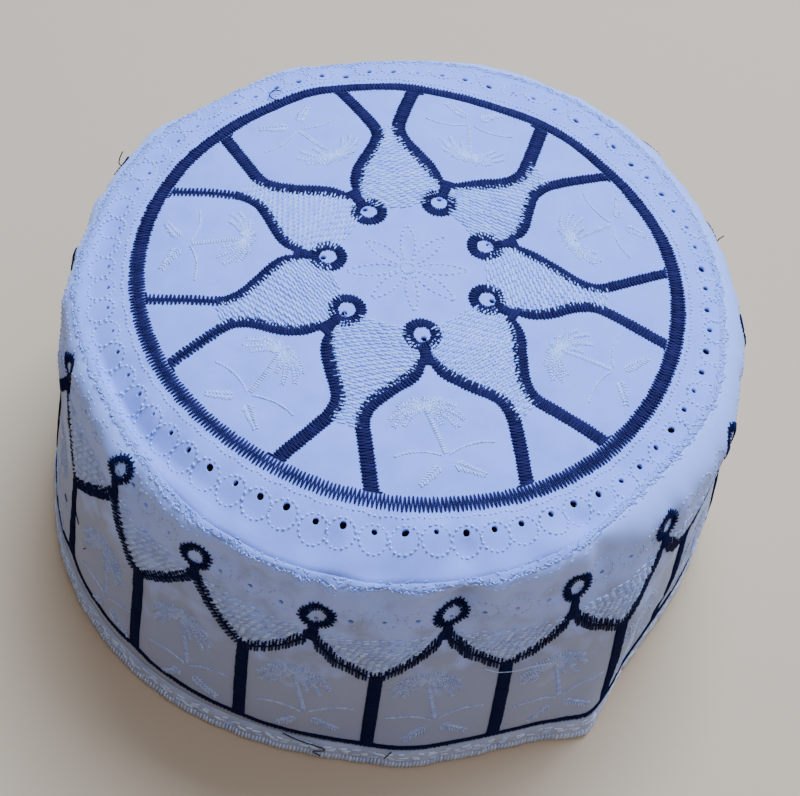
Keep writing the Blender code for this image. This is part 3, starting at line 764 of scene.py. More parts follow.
wall_marks = []
for k, arch in enumerate(SIDE_ARCHES):
    scale = flat_scale(arch[0])
    for sign, reach in zip((1, -1), arch_reaches(k)):
        for part in side_half(arch, reach, sign, sign > 0):
            if part:
                line = smooth_path(part, 1.5)
                flat = np.radians(arch[0] + sign * line[:, 0] * scale) * BAND_RADIUS
                wall_marks.append(np.stack((flat, arch[2] + line[:, 1]), axis=1))
wall_marks = np.vstack(wall_marks)
wall_marks = np.vstack([wall_marks + (turns * math.pi * BAND_RADIUS, 0) for turns in (-2, 0, 2)])


def wall_relief(azimuth, station):
    """Pinches at the satin, soft dents, and small upright puckers below the seam."""
    flat = np.stack((np.radians((azimuth + 180) % 360 - 180) * BAND_RADIUS, station), axis=1)
    gap = nearest(flat, wall_marks)
    x, y = polar(BAND_RADIUS, azimuth)
    points = np.stack((x, y, station), axis=1)
    pinch = -0.28 * np.exp(-((gap / 2.4) ** 2)) + 0.15 * np.exp(-(((gap - 6.5) / 3.5) ** 2))
    soft = 0.50 * billow(points, 46, 21) + 0.22 * billow(points * (1, 1, 0.4), 17, 22)
    fine = 0.06 * billow(points, 6, 23)
    high = np.exp(-(((station - 76.0) / 7.0) ** 2))
    front = 0.35 + 0.65 * np.exp(-((turn_between(azimuth, -85.0) / 40.0) ** 2))
    pucker = 0.90 * billow(points * (1, 1, 0.12), 6.5, 24) * high * front
    far = 0.45 * (1 + np.sin(np.radians(azimuth))) * high
    pucker = pucker + far * billow(points * (1, 1, 0.4), 14, 25)
    for at, _, level_at, depth in SEAM_CREASES:
        pucker -= depth * dent(turn_between(azimuth, at), CREASE_WIDTH_BAND, station - level_at, 6.0)
    return (pinch + soft + fine + pucker) * np.clip((station - 9.0) / 8.0, 0, 1)


wall_map = relief_map(wall_relief, 810, 0.0, 96.0, 81)


def wall_place(azimuth, station):
    """Cap centred mm of points on the band's outer face with its dents and puckers."""
    radius, height, u = plain_wall(azimuth, station)
    x, y = polar(radius + wall_map(azimuth, station) * (1 - u) ** 0.5, azimuth)
    return np.stack((x, y, height), axis=-1)


def on_wall(azimuth, station, lift=0.0):
    """World points and normals on the band at azimuths and stations."""
    around_way = wall_place(azimuth + 0.4, station) - wall_place(azimuth - 0.4, station)
    high = np.minimum(station + 0.5, seam_station(azimuth))
    up_way = wall_place(azimuth, high) - wall_place(azimuth, high - 1.0)
    normal = np.cross(around_way, up_way)
    normal /= np.linalg.norm(normal, axis=-1)[:, None]
    return raised(to_world(*wall_place(azimuth, station).T), normal, lift), normal


# Rows of the band's cloth, counted up from the hem, with its eyelets on one of them
EYELET_ROW, ROW_COUNT = 36, 46
CELL = 0.75
loop_heights = [(row[0], row[2]) for row in SIDE_ARCHES]
side_columns, side_eyelets = [], []


def fill_columns(end):
    """Add even columns from the last one up to an azimuth."""
    gap = end - side_columns[-1]
    for _ in range(1, int(math.ceil(gap / 1.5))):
        side_columns.append(side_columns[-1] + gap / math.ceil(gap / 1.5))


for k, arch in enumerate(SIDE_ARCHES):
    peak, valley = arch[0], arch[1]
    following = SIDE_ARCHES[(k + 1) % ARCH_COUNT][0] + (360 if k == ARCH_COUNT - 1 else 0)
    left = min(5.0, valley - peak - 3.6)
    right = min(5.0, following - valley - 3.6)
    for centre in (peak, valley - left, valley, valley + right):
        if side_columns:
            fill_columns(centre - 2 * CELL)
        side_eyelets.append((len(side_columns), centre, centre == peak))
        side_columns += [centre + (n - 2) * CELL for n in range(5)]
fill_columns(SIDE_ARCHES[0][0] + 360 - 2 * CELL)
draw = np.random.RandomState(12)
holes = []
for index, centre, in_loop in side_eyelets:
    size = draw.uniform(0.5, 0.62) if in_loop else draw.uniform(0.5, 0.68)
    middle = centre + (0.45 if in_loop else draw.uniform(-0.2, 0.2))
    level_at = EYELET_ROW - (0.7 if in_loop else 0.0) + draw.uniform(-0.2, 0.2)
    aside = math.degrees(size / BAND_RADIUS)
    holes.append((index, EYELET_ROW - 2, middle, level_at, aside, size / ROW_STEP))
places, faces = lattice(side_columns, list(range(ROW_COUNT + 1)), holes)
azimuth, row = places[:, 0], places[:, 1]
eyelet_at = around(azimuth, loop_heights)
top = seam_station(azimuth) - 0.5
low_share = np.clip(row / (EYELET_ROW - 2), 0, 1)
high_share = np.clip((row - EYELET_ROW - 2) / (ROW_COUNT - EYELET_ROW - 2), 0, 1)
station = HEM_TOP + 0.4 + (eyelet_at - 3.0 - HEM_TOP - 0.4) * low_share
station = station + ROW_STEP * np.clip(row - EYELET_ROW + 2, 0, 4) + (top - eyelet_at - 3.0) * high_share
band_points, _ = on_wall(azimuth, station)
band_flat = np.stack((np.radians(azimuth) * BAND_RADIUS, station), axis=1)
# The band's cotton is painted darker and greyer towards the bottom, below 58 mm: painted shade of the lower
# wall
band_finish = cloth_finish("band_cotton", (0.47, 0.555, 0.97), (0.355, 0.365, 0.475), 2.9, shaded_below=58.0)
band = cloth_piece("band_cotton_strip", band_points, faces, band_flat, band_finish, CLOTH)
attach(band, "root")
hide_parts("side_band")

# Hem
# The lower edge: the cotton turned up over a stiffening tape and overlocked, 8.5 mm deep.
# White thread runs through it in slanting dashes over a row of close ribs.
HEM_THICKNESS = 2.6
HEM_COLUMNS = 720
HEM_RADIUS = 93.0
# How far each profile point stands out from the band, its height, and its ripple share
HEM_PROFILE = (
    (-HEM_THICKNESS, 0.02, 0.0),
    (-0.1, 0.02, 0.0),
    (0.35, 0.30, 0.4),
    (0.45, 1.2, 1.0),
    (0.35, 2.6, 1.0),
    (0.18, 3.4, 0.6),
    (0.42, 4.4, 0.8),
    (0.52, 6.4, 1.0),
    (0.40, 7.9, 0.6),
    (-0.05, 8.75, 0.2),
    (-HEM_THICKNESS, 8.6, 0.0),
)


def tube(name, rows, finish, flat):
    """A closed ring of equal rows, each a loop around the cap, joined into a solid ring."""
    count = len(rows[0])
    points = np.vstack(rows)
    faces = []
    for r in range(len(rows)):
        base, over = r * count, ((r + 1) % len(rows)) * count
        for i in range(count):
            n = (i + 1) % count
            faces.append((base + i, base + n, over + n, over + i))
    return cloth_piece(name, points, faces, flat, finish, 0.0)


def hem_surface(azimuth, height, out):
    """World points on the hem strip, out from the band by out."""
    radius, _, _ = plain_wall(azimuth, height)
    x, y = polar(radius + out, azimuth)
    return to_world(x, y, height)


hem_azimuths = np.arange(HEM_COLUMNS) * 360.0 / HEM_COLUMNS
hem_points = level_points(HEM_RADIUS, hem_azimuths)
hem_ripple = 0.22 * billow(hem_points, 9, 31) + 0.14 * billow(hem_points, 3.5, 32)
hem_rows, hem_flat = [], []
for out, height, ripple in HEM_PROFILE:
    tall = np.full(HEM_COLUMNS, height) + 0.35 * ripple * billow(hem_points, 20, 33) * (height > 3)
    hem_rows.append(hem_surface(hem_azimuths, tall, out + ripple * hem_ripple))
    hem_flat.append(np.stack((np.radians(hem_azimuths) * HEM_RADIUS, tall + max(0, -out)), axis=1))
hem_finish = cloth_finish("hem_cotton", (0.54, 0.55, 0.64), (0.43, 0.44, 0.52), 2.2)
hem = tube("hem_turned_edge", hem_rows, hem_finish, np.vstack(hem_flat))
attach(hem, "root")
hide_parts("hem_edging")

# Crown seam
# The seam between crown and band: the crown's edge is turned under and stitched down, which
# leaves a raised ridge with a small picot edge, plain and flatter where the band rolls over it.
SEAM_COLUMNS = 1400
SEAM_RADIUS = 82.0
# Share of the way from the crown's side (0) to the band's side (1), and height of the ridge
SEAM_PROFILE = (
    (0.0, -0.25),
    (0.03, 0.04),
    (0.22, 0.12),
    (0.45, 0.21),
    (0.68, 0.17),
    (0.9, 0.10),
    (1.0, -0.25),
)
SEAM_INNER, SEAM_OUTER = 0.9, 1.0
PICOT_PITCH = 1.75
# Azimuth at the middle of the seam's plain side
PLAIN_MIDDLE = 35.0


def plainness(turned):
    """Share of the plain seam at angles from the middle of its plain side, in radians."""
    return np.clip((np.cos(turned) + 0.25) / 0.6, 0, 1)


seam_azimuths = np.arange(SEAM_COLUMNS) * 360.0 / SEAM_COLUMNS
seam_marks = level_points(SEAM_RADIUS, seam_azimuths)
plain_side = plainness(np.radians(seam_azimuths - PLAIN_MIDDLE))
ridge = (1 - 0.6 * plain_side) * (1 + 0.35 * billow(seam_marks, 5, 41) + 0.35 * billow(seam_marks, 2, 43))
picots = np.round(2 * math.pi * SEAM_RADIUS / PICOT_PITCH)
tooth = np.abs(((seam_azimuths / 360.0 * picots) % 1.0) * 2 - 1)
outer = SEAM_OUTER + (0.45 * tooth + 0.3 * billow(seam_marks, 4, 42)) * (1 - 0.8 * plain_side)


def on_seam(azimuth, offset, lift):
    """World points at an offset from the seam: inwards on the crown, outwards on the band."""
    radius = column(azimuth, SEAM) + np.minimum(offset, 0)
    over, over_normal = on_crown(plane_points(radius, azimuth))
    down, down_normal = on_wall(azimuth, seam_station(azimuth) - np.maximum(offset, 0))
    blend = np.clip(0.5 + offset / 1.2, 0, 1)[:, None]
    normal = over_normal * (1 - blend) + down_normal * blend
    normal /= np.linalg.norm(normal, axis=1)[:, None]
    place = np.where((offset > 0)[:, None], down, over)
    return raised(place, normal, lift), normal


seam_rows, seam_flat = [], []
for share, height in reversed(SEAM_PROFILE):
    offset = -SEAM_INNER + (SEAM_INNER + outer) * share
    lift = height * ridge if height > 0 else np.full(SEAM_COLUMNS, height)
    seam_rows.append(on_seam(seam_azimuths, offset, lift)[0])
    seam_flat.append(np.stack((np.radians(seam_azimuths) * SEAM_RADIUS, offset), axis=1))
seam_finish = cloth_finish("seam_cotton", (0.34, 0.405, 0.78), (0.29, 0.35, 0.70), 2.2)
seam = tube("seam_ridge", seam_rows, seam_finish, np.vstack(seam_flat))
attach(seam, "root")
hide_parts("seam_edging")

# Navy satin stitching
# Navy rayon thread worked by machine in close zigzag over a flat bed of stitches. Each arch,
# loop and post is one run of thread; the ring is opener at the front and shows cloth between.


def thread_object(name, rings, sides):
    """One stitch, a closed thread along X of unit size whose ends dip into the cloth."""
    points, flat = [(-0.5, 0.0, -0.55)], [(0.0, 0.0)]
    for x, fat, rise in rings:
        for k in range(sides):
            angle = 2 * math.pi * k / sides
            points.append((x, 0.5 * fat * math.cos(angle), 0.5 * fat * math.sin(angle) + rise))
            flat.append((x + 0.5, k / sides))
    points.append((0.5, 0.0, -0.55))
    flat.append((1.0, 0.0))
    faces = []
    for k in range(sides):
        n = (k + 1) % sides
        faces.append((0, 1 + n, 1 + k))
        for base in range(1, 1 + (len(rings) - 1) * sides, sides):
            faces.append((base + k, base + n, base + sides + n, base + sides + k))
        base = 1 + (len(rings) - 1) * sides
        faces.append((base + k, base + n, len(points) - 1))
    mesh = bpy.data.meshes.new(name)
    mesh.from_pydata(points, [], faces)
    mesh.shade_smooth()
    layer = mesh.uv_layers.new(name="thread")
    for loop in mesh.loops:
        layer.data[loop.index].uv = flat[loop.vertex_index]
    return bpy.data.objects.new(name, mesh)


ALIGN, NAMED = "FunctionNodeAlignRotationToVector", "GeometryNodeInputNamedAttribute"
OBJECT, VECTORS = "GeometryNodeObjectInfo", {"data_type": "FLOAT_VECTOR"}

# Geometry Nodes: lay one thread on every point, along and outward as the point says
stitch_layer = group_tree(
    "stitch_layer",
    "GeometryNodeTree",
    (
        ("Stitches", "Geometry", None),
        ("Thread", "Object", None),
        ("Bed", "Object", None),
        ("Finish", "Material", None),
        ("Width Spread", "Float", None),
        ("Seed", "Int", None),
    ),
    (("Stitches", "Geometry"),),
)
turned_out = {"Rotation": "lay_along > Rotation", "Vector": "outward > Attribute"}
one_on_each = {
    "Points": "enter > Stitches",
    "Instance": "thread > Geometry",
    "Rotation": "face_out > Rotation",
    "Scale": "sized > Vector",
}
stitch_rows = (
    ("enter", ENTER, {}, {}),
    ("along", NAMED, VECTORS, {"Name": "along"}),
    ("outward", NAMED, VECTORS, {"Name": "outward"}),
    ("size", NAMED, VECTORS, {"Name": "size"}),
    ("lay_along", ALIGN, {"axis": "X"}, {"Vector": "along > Attribute"}),
    ("face_out", ALIGN, {"axis": "Z", "pivot_axis": "X"}, turned_out),
    ("spread", "FunctionNodeRandomValue", {"data_type": "FLOAT"}, {2: -1.0, 3: 1.0, "Seed": "enter > Seed"}),
    ("widen", MATH, TIMES_PLUS, {0: "spread > Value", 1: "enter > Width Spread", 2: 1.0}),
    ("factors", "ShaderNodeCombineXYZ", {}, {"X": 1.0, "Y": "widen > Value", "Z": "widen > Value"}),
    ("sized", "ShaderNodeVectorMath", TIMES, {0: "size > Attribute", 1: "factors > Vector"}),
    ("thread", OBJECT, {}, {"Object": "enter > Thread"}),
    ("place", "GeometryNodeInstanceOnPoints", {}, one_on_each),
    ("bed", OBJECT, {}, {"Object": "enter > Bed"}),
    ("join", "GeometryNodeJoinGeometry", {}, {"Geometry": ["bed > Geometry", "place > Instances"]}),
    ("real", "GeometryNodeRealizeInstances", {}, {"Geometry": "join > Geometry"}),
    ("paint", "GeometryNodeSetMaterial", {}, {"Geometry": "real > Geometry", "Material": "enter > Finish"}),
    ("leave", LEAVE, {}, {"Stitches": "paint > Geometry"}),
)
wire(stitch_layer, stitch_rows)
satin_thread = thread_object("satin_thread", ((-0.42, 0.9, -0.02), (0.0, 1.0, 0.12), (0.42, 0.9, -0.02)), 5)
fine_thread = thread_object("fine_thread", ((-0.30, 0.95, 0.0), (0.30, 0.95, 0.0)), 5)

# Node group: plies of twisted thread from a stitch's own coordinate
thread_twist = group_tree(
    "thread_twist",
    "ShaderNodeTree",
    (("Thread Place", "Vector", None), ("Reach", "Float", None), ("Turns per mm", "Float", 1.6)),
    (("Ply Height", "Float"),),
)
wound = {0: "length > Value", 1: "enter > Turns per mm", 2: "split > Y"}
twist_rows = (
    ("enter", ENTER, {}, {}),
    ("split", SPLIT, {}, {0: "enter > Thread Place"}),
    ("length", MATH, TIMES, {0: "split > X", 1: "enter > Reach"}),
    ("wound", MATH, TIMES_PLUS, wound),
    ("circle", MATH, TIMES, {0: "wound > Value", 1: 2 * math.pi}),
    ("wave", MATH, SINE, {0: "circle > Value"}),
    ("leave", LEAVE, {}, {"Ply Height": "wave > Value"}),
)
wire(thread_twist, twist_rows)


def thread_finish(name, dark, light, roughness, gleam):
    """Shiny twisted thread whose tone differs a little from stitch to stitch, painted a little darker in the
    grooves between its plies as painted shade.
    """
    made, shader = principled(name, light, roughness)
    plies = {"Thread Place": "place > UV", "Reach": "reach > Fac"}
    mixed = {"A": (*dark, 1.0), "B": (*light, 1.0), "Factor": "shade > Value"}
    finished = {"Base Color": "mix > Result", "Normal": "bump > Normal", "Specular IOR Level": gleam}
    rows = (
        ("place", "ShaderNodeUVMap", {"uv_map": "thread"}, {}),
        ("reach", "ShaderNodeAttribute", {"attribute_name": "reach"}, {}),
        ("twist", "ShaderNodeGroup", {"node_tree": thread_twist}, plies),
        ("tone", "ShaderNodeAttribute", {"attribute_name": "tone"}, {}),
        # Painted shade: the ply height that drives the bump also darkens the grooves and lightens the crests
        ("shade", MATH, TIMES_PLUS, {0: "twist > Ply Height", 1: 0.12, 2: "tone > Fac"}),
        ("mix", MIX, COLOURS, mixed),
        ("bump", BUMP, {}, {"Strength": 0.5, "Distance": 0.00008, "Height": "twist > Ply Height"}),
        ("shader", "", {}, finished),
    )
    wire(made.node_tree, rows, shader=shader)
    return made


# One navy thread in two copies: the crown's is painted lighter and more violet, as painted light from the
# window, and the band's darker, as painted shade on the wall
navy_painted_lit = thread_finish("navy_rayon", (0.010, 0.008, 0.036), (0.036, 0.026, 0.105), 0.68, 0.10)
band_navy_painted_shade = thread_finish("band_navy_rayon", (0.003, 0.0045, 0.022), (0.010, 0.014, 0.070), 0.68, 0.06)


def cloud(surface, starts, ends, width, thick, tone, lift):
    """Stitches between start and end points of a surface, ready for the stitch layer."""
    starts, ends = np.asarray(starts, float), np.asarray(ends, float)
    count = len(starts)
    first, first_normal = surface(starts, lift)
    last, last_normal = surface(ends, lift)
    along = last - first
    reach = np.linalg.norm(along, axis=1)
    keep = reach > 1e-6
    outward = first_normal + last_normal
    outward /= np.linalg.norm(outward, axis=1)[:, None]
    size = np.stack((reach, np.full(count, 1.0) * width * MM, np.full(count, 1.0) * thick * MM), axis=1)
    made = {
        "place": (first + last) / 2,
        "along": along / np.maximum(reach, 1e-9)[:, None],
        "outward": outward,
        "size": size,
        "tone": np.full(count, 1.0) * tone,
        "reach": reach / MM,
    }
    return {name: values[keep] for name, values in made.items()}


def bed_mesh(name, ribbons):
    """Low closed ribbons under the stitches: each is (rows of points across), top side out."""
    points, faces = [], []
    for rows in ribbons:
        base, count, wide = len(points), len(rows), len(rows[0])
        for section in rows:
            points.extend(tuple(p) for p in section)
        for r in range(count - 1):
            a, b = base + r * wide, base + (r + 1) * wide
            for k in range(wide):
                n = (k + 1) % wide
                faces.append((a + k, b + k, b + n, a + n))
        faces.append(tuple(base + k for k in range(wide)))
        end = base + (count - 1) * wide
        faces.append(tuple(end + k for k in reversed(range(wide))))
    mesh = bpy.data.meshes.new(name)
    mesh.from_pydata(points, [], faces)
    mesh.attributes.new("tone", "FLOAT", "POINT").data.foreach_set("value", np.full(len(points), 0.25))
    return bpy.data.objects.new(name, mesh)


def ribbon(surface, path, share, height):
    """Sections of a low domed ribbon along a (x, y, width) path on a surface."""
    way = np.gradient(path[:, :2], axis=0)
    way /= np.linalg.norm(way, axis=1)[:, None] + 1e-9
    side = np.stack((-way[:, 1], way[:, 0]), axis=1) * (path[:, 2:3] / 2 * share)
    sections = []
    for across_share, lift in ((1.0, -0.3), (1.0, 0.10), (0.0, height), (-1.0, 0.10), (-1.0, -0.3)):
        place, _ = surface(path[:, :2] + side * across_share, lift)
        sections.append(place)
    return np.stack(sections, axis=1)


def sew(name, clouds, finish, seed, bed=None, node=None, thread=None, spread=0.10):
    """Turn clouds of stitches into one finished mesh piece, attached to the cap's root."""
    joined = {key: np.concatenate([c[key] for c in clouds]) for key in clouds[0]}
    mesh = bpy.data.meshes.new(name)
    mesh.from_pydata([tuple(p) for p in joined.pop("place")], [], [])
    for key, values in joined.items():
        kind, field = ("FLOAT", "value") if values.ndim == 1 else ("FLOAT_VECTOR", "vector")
        layer = mesh.attributes.new(key, kind, "POINT")
        layer.data.foreach_set(field, values.astype(np.float32).ravel())
    piece = bpy.data.objects.new(name, mesh)
    bpy.context.scene.collection.objects.link(piece)
    work = piece.modifiers.new("stitches", "NODES")
    work.node_group = stitch_layer
    values = {"Thread": thread or satin_thread, "Bed": bed, "Finish": finish}
    values.update({"Width Spread": spread, "Seed": seed})
    for socket in stitch_layer.interface.items_tree:
        if socket.in_out == "INPUT" and values.get(socket.name) is not None:
            work[socket.identifier] = values[socket.name]
    settle(piece)
    if bed:
        bed_data = bed.data
        bpy.data.objects.remove(bed)
        bpy.data.meshes.remove(bed_data)
    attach(piece, "root")
    if node:
        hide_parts(node)


# Stitches laid one fixed way lengthen to span a slanting run, down to this share of its width
LEAST_LEAN = 0.62


def zigzag(path, pitch, slant, ragged, draw, way=None):
    """Start and end points of zigzag stitches along a (x, y, width) path."""
    run = distance_along(path)
    count = max(2, int(round(run[-1] / pitch)))
    marks = (np.arange(count) + 0.5) / count * run[-1]
    marks = marks + draw.uniform(-0.12, 0.12, count) * pitch
    x, y, width = (np.interp(marks, run, path[:, k]) for k in range(3))
    slope = np.gradient(path[:, :2], axis=0)
    heading = np.stack([np.interp(marks, run, slope[:, k]) for k in range(2)], axis=1)
    heading /= np.linalg.norm(heading, axis=1)[:, None] + 1e-9
    side = np.stack((-heading[:, 1], heading[:, 0]), axis=1)
    if way is not None:
        fixed = np.array(way, float)
        turned = np.sign(side @ fixed + 1e-9)[:, None] * fixed
        lean = np.abs(side @ fixed)[:, None]
        side = turned / np.maximum(lean, LEAST_LEAN)
    sign = np.where(np.arange(count) % 2, 1.0, -1.0)[:, None]
    half = (width / 2)[:, None]
    jitter = draw.uniform(-ragged, ragged, (count, 2))
    centre = np.stack((x, y), axis=1)
    starts = centre - side * (half + jitter[:, :1]) - heading * slant * sign
    ends = centre + side * (half + jitter[:, 1:]) + heading * slant * sign
    return starts, ends


# Radius by which distances along the ring are read
RING_RADIUS = 67.0
# Distance between the ring's stitches: at the front, where they lie open, and at the back
RING_OPEN, RING_CLOSE = 0.47, 0.43


def ring_surface(points, lift):
    """Crown surface read by (distance along the ring, offset outward from it)."""
    azimuth = np.degrees(points[:, 0] / RING_RADIUS)
    place, normal = on_crown(plane_points(column(azimuth, RING) + points[:, 1], azimuth))
    return raised(place, normal, lift), normal


def lifted(base, count, draw, spread=0.08):
    """Heights that differ a little from stitch to stitch."""
    return base + draw.uniform(0, spread, count)


draw = np.random.RandomState(51)
mark, sign = 0.0, 1.0
starts, ends, tones, widths = [], [], [], []
while mark < 2 * math.pi * RING_RADIUS:
    azimuth = math.degrees(mark / RING_RADIUS)
    open_front = max(0.0, 1.0 - abs(turn_between(azimuth, -104.0)) / 84.0) ** 0.4
    far_side = max(0.0, math.sin(math.radians(azimuth)))
    pitch = RING_CLOSE + (RING_OPEN - RING_CLOSE) * open_front
    wavy = 0.25 * math.sin(math.radians(azimuth * 9)) * far_side
    half = 2.1 * (1.0 - 0.20 * far_side)
    rough = draw.uniform(-0.22, 0.22, 2)
    starts.append((mark - pitch * 0.5 * sign, -half - rough[0] + wavy))
    ends.append((mark + pitch * 0.5 * sign, half + rough[1] + wavy))
    tones.append(draw.uniform(0.3, 1.0))
    widths.append(0.48 - 0.10 * open_front)
    sign = -sign
    mark += pitch * draw.uniform(0.92, 1.08)
lifts = lifted(0.16, len(starts), draw)
ring_stitches = cloud(ring_surface, starts, ends, np.array(widths), 0.40, np.array(tones), lifts)
# Flat stitches under the zigzag: from azimuth, to azimuth, width
ring_ribbons = []
for start, end, width in ((-34, 182, 3.0), (182, 218, 1.2)):
    span = np.linspace(math.radians(start), math.radians(end), 300) * RING_RADIUS
    path = np.stack((span, np.zeros(300), np.full(300, width)), axis=1)
    ring_ribbons.append(ribbon(ring_surface, path, 1.0, 0.14))
ring_bed = bed_mesh("ring_bed", ring_ribbons)
sew("ring_satin", [ring_stitches], navy_painted_lit, 1, ring_bed, "crown_ring")


def laid(surface, run, width, thick, tones, height, draw, loose=0.08):
    """A cloud of (starts, ends) stitches whose tone and height differ a little among them."""
    starts, ends = run
    shades = draw.uniform(*tones, len(starts))
    return cloud(surface, starts, ends, width, thick, shades, lifted(height, len(starts), draw, loose))


def satin(sewn, surface, path, zig, thread, bed, draw, loose=0.08, swell=1.0, every=1, way=None):
    """Add one run of zigzag over a flat bed to the clouds and the ribbons in sewn.

    zig is pitch, slant and raggedness, thread is width, thickness, tones and height, and bed is
    the bed's share of the path's width and its height.
    """
    run = zigzag(path * (1, 1, swell), *zig, draw, way)
    sewn[0].append(laid(surface, run, *thread, draw, loose))
    sewn[1].append(ribbon(surface, path[::every], *bed))


def crown_arch_surface(row):
    """Surface of a crown arch's own (across, up) points."""
    return lambda points, lift: on_crown(on_arch(row, points), lift)


def panel_surface(azimuth, station):
    """Surface of (across, up) points from a place on the band."""
    scale = flat_scale(azimuth)
    return lambda points, lift: on_wall(azimuth + points[:, 0] * scale, station + points[:, 1], lift)


def loop_path(wide, tall, width, pull):
    """A closed loop starting and ending at its throat, drawn to a point there by pull."""
    turns = np.radians(np.linspace(-90, 270, 61))
    narrow = 1 - pull * np.clip(-np.sin(turns), 0, 1) ** 2
    return np.stack((wide * np.cos(turns) * narrow, tall * np.sin(turns), np.full(61, width)), axis=1)


CROWN_LOOP = loop_path(3.45, 3.45, 2.95, 0.0)
CROWN_NECK = smooth_path(((0.0, -4.0, 2.8), (0.0, -5.6, 3.0), (0.0, -7.6, 4.2), (0.0, -8.6, 5.2)), 0.5)
NECK_ZIG = (0.42, 0.05, 0.15)
# Legs on the left of the crown that are sewn openly beyond this distance below their loop
OPEN_LEGS = ((6, 1), (6, -1), (7, -1))
OPEN_FROM = -25.0
# Close and open legs: pitch, raggedness, thread width, share of the bed
LEG_RUNS = ((0.43, 0.13, 0.42, 0.84), (0.50, 0.2, 0.40, 0.34))
for number, arch in enumerate(CROWN_ARCHES, start=1):
    draw = np.random.RandomState(100 + number)
    surface = crown_arch_surface(arch)
    sewn = ([], [])
    satin(sewn, surface, CROWN_LOOP, (0.70, 0.03, 0.14), (0.46, 0.40, (0.3, 0.9), 0.20), (0.72, 0.24), draw)
    satin(sewn, surface, CROWN_NECK, NECK_ZIG, (0.50, 0.42, (0.3, 0.8), 0.26), (0.88, 0.30), draw)
    for mirror in (1, -1):
        leg = arch_leg(arch, mirror)[4:-4]
        turn = int((leg[:, 1] > OPEN_FROM).sum()) if (number, mirror) in OPEN_LEGS else len(leg)
        for part, (pitch, ragged, wide, bed) in zip((leg[: turn + 1], leg[turn - 1 :]), LEG_RUNS):
            if len(part) > 2:
                zig, thread = (pitch, 0.19, ragged), (wide, 0.34, (0.3, 0.9), 0.20)
                under = (bed, 0.12 + 0.14 * bed)
                satin(sewn, surface, part, zig, thread, under, draw, loose=0.05, swell=1.04, every=2)
    name, node, bed = f"crown_arch_satin_{number}", f"crown_arch_{number}", bed_mesh("bed", sewn[1])
    sew(name, sewn[0], navy_painted_lit, number, bed, node)

# West of this azimuth the flanks' stitches lie square to their line, and elsewhere upright
SQUARE_UNTIL = -105.0
for number, arch in enumerate(SIDE_ARCHES, start=1):
    draw = np.random.RandomState(200 + number)
    surface = panel_surface(arch[0], arch[2])
    sewn = ([], [])
    loop = loop_path(draw.uniform(2.8, 3.4), draw.uniform(3.4, 3.8), 2.7, draw.uniform(0.1, 0.5))
    lean = draw.uniform(-0.25, 0.25)
    loop[:, 0] += loop[:, 1] * lean + 3.4 * lean
    satin(sewn, surface, loop, (0.86, 0.05, 0.20), (0.48, 0.42, (0.2, 1), 0.18), (0.48, 0.18), draw)
    neck = smooth_path([(0.0, -3.3, 2.4)] + [(lean * y, arch[3] - arch[2] + y, w) for y, w in NECK], 0.5)
    satin(sewn, surface, neck, NECK_ZIG, (0.50, 0.42, (0.3, 0.8), 0.28), (0.85, 0.30), draw)
    way = None if arch[0] < SQUARE_UNTIL else (0.0, 1.0)
    for sign, reach in zip((1, -1), arch_reaches(number - 1)):
        flank, stem = side_half(arch, reach, sign, sign > 0)
        width = 1.0 if sign > 0 else 0.86
        line = smooth_path([(sign * x, y, 1.2 * w * width) for x, y, w in flank], 0.5)
        zig, thread = (1.02, 0.05, 0.20), (0.58, 0.44, (0.2, 1), 0.16)
        satin(sewn, surface, line, zig, thread, (0.34, 0.12), draw, every=2, way=way)
        if stem:
            line, zig, thread = smooth_path(stem, 0.5), (0.44, 0.05, 0.10), (0.52, 0.36, (0.2, 0.7), 0.24)
            satin(sewn, surface, line, zig, thread, (0.93, 0.26), draw, every=2)
    name, node, bed = f"side_arch_satin_{number}", f"side_arch_{number}", bed_mesh("bed", sewn[1])
    sew(name, sewn[0], band_navy_painted_shade, 20 + number, bed, node)

POST_FEET = [(row[1], row[5]) for row in SIDE_ARCHES]
HEM_LENGTH = 2 * math.pi * HEM_RADIUS


def line_surface(points, lift):
    """Surface of the line above the hem: (distance around, offset up)."""
    azimuth = np.degrees(points[:, 0] / HEM_RADIUS)
    return on_wall(azimuth, around(azimuth, POST_FEET) + points[:, 1], lift)


count = int(HEM_LENGTH / 0.55)
line = np.stack((np.linspace(0, HEM_LENGTH, count), np.zeros(count), np.full(count, 1.9)), axis=1)
sewn = ([], [])
zig, thread = (0.52, 0.10, 0.16), (0.48, 0.40, (0.2, 0.8), 0.16)
satin(sewn, line_surface, line, zig, thread, (0.8, 0.18), np.random.RandomState(61), every=3)
sew("hem_line_satin", sewn[0], band_navy_painted_shade, 41, bed_mesh("bed", sewn[1]), "hem_line")

# White needlework on the crown
# White rayon thread: brick stitched kites between the arches, a dotted star in the middle,
# chain stitched rings around the eyelets, and a date palm with leafy sprigs in each panel.
white_finish = thread_finish("white_rayon", (0.39, 0.50, 1.0), (0.64, 0.77, 1.0), 0.30, 0.7)
tonal_finish = thread_finish("tonal_rayon", (0.46, 0.56, 1.0), (0.70, 0.80, 1.0), 0.30, 0.7)
# The band's copies of the white and tonal threads are coloured for the wall's light: the tonal one darker
# and greyer as painted shade, the white one greyer at its dark end as painted shade and brighter at its
# light end as painted highlight
band_white_painted_light = thread_finish("band_white_rayon", (0.42, 0.47, 0.74), (0.78, 0.84, 0.97), 0.26, 0.8)
band_tonal_painted_shade = thread_finish("band_tonal_rayon", (0.41, 0.455, 0.69), (0.66, 0.71, 0.88), 0.30, 0.7)


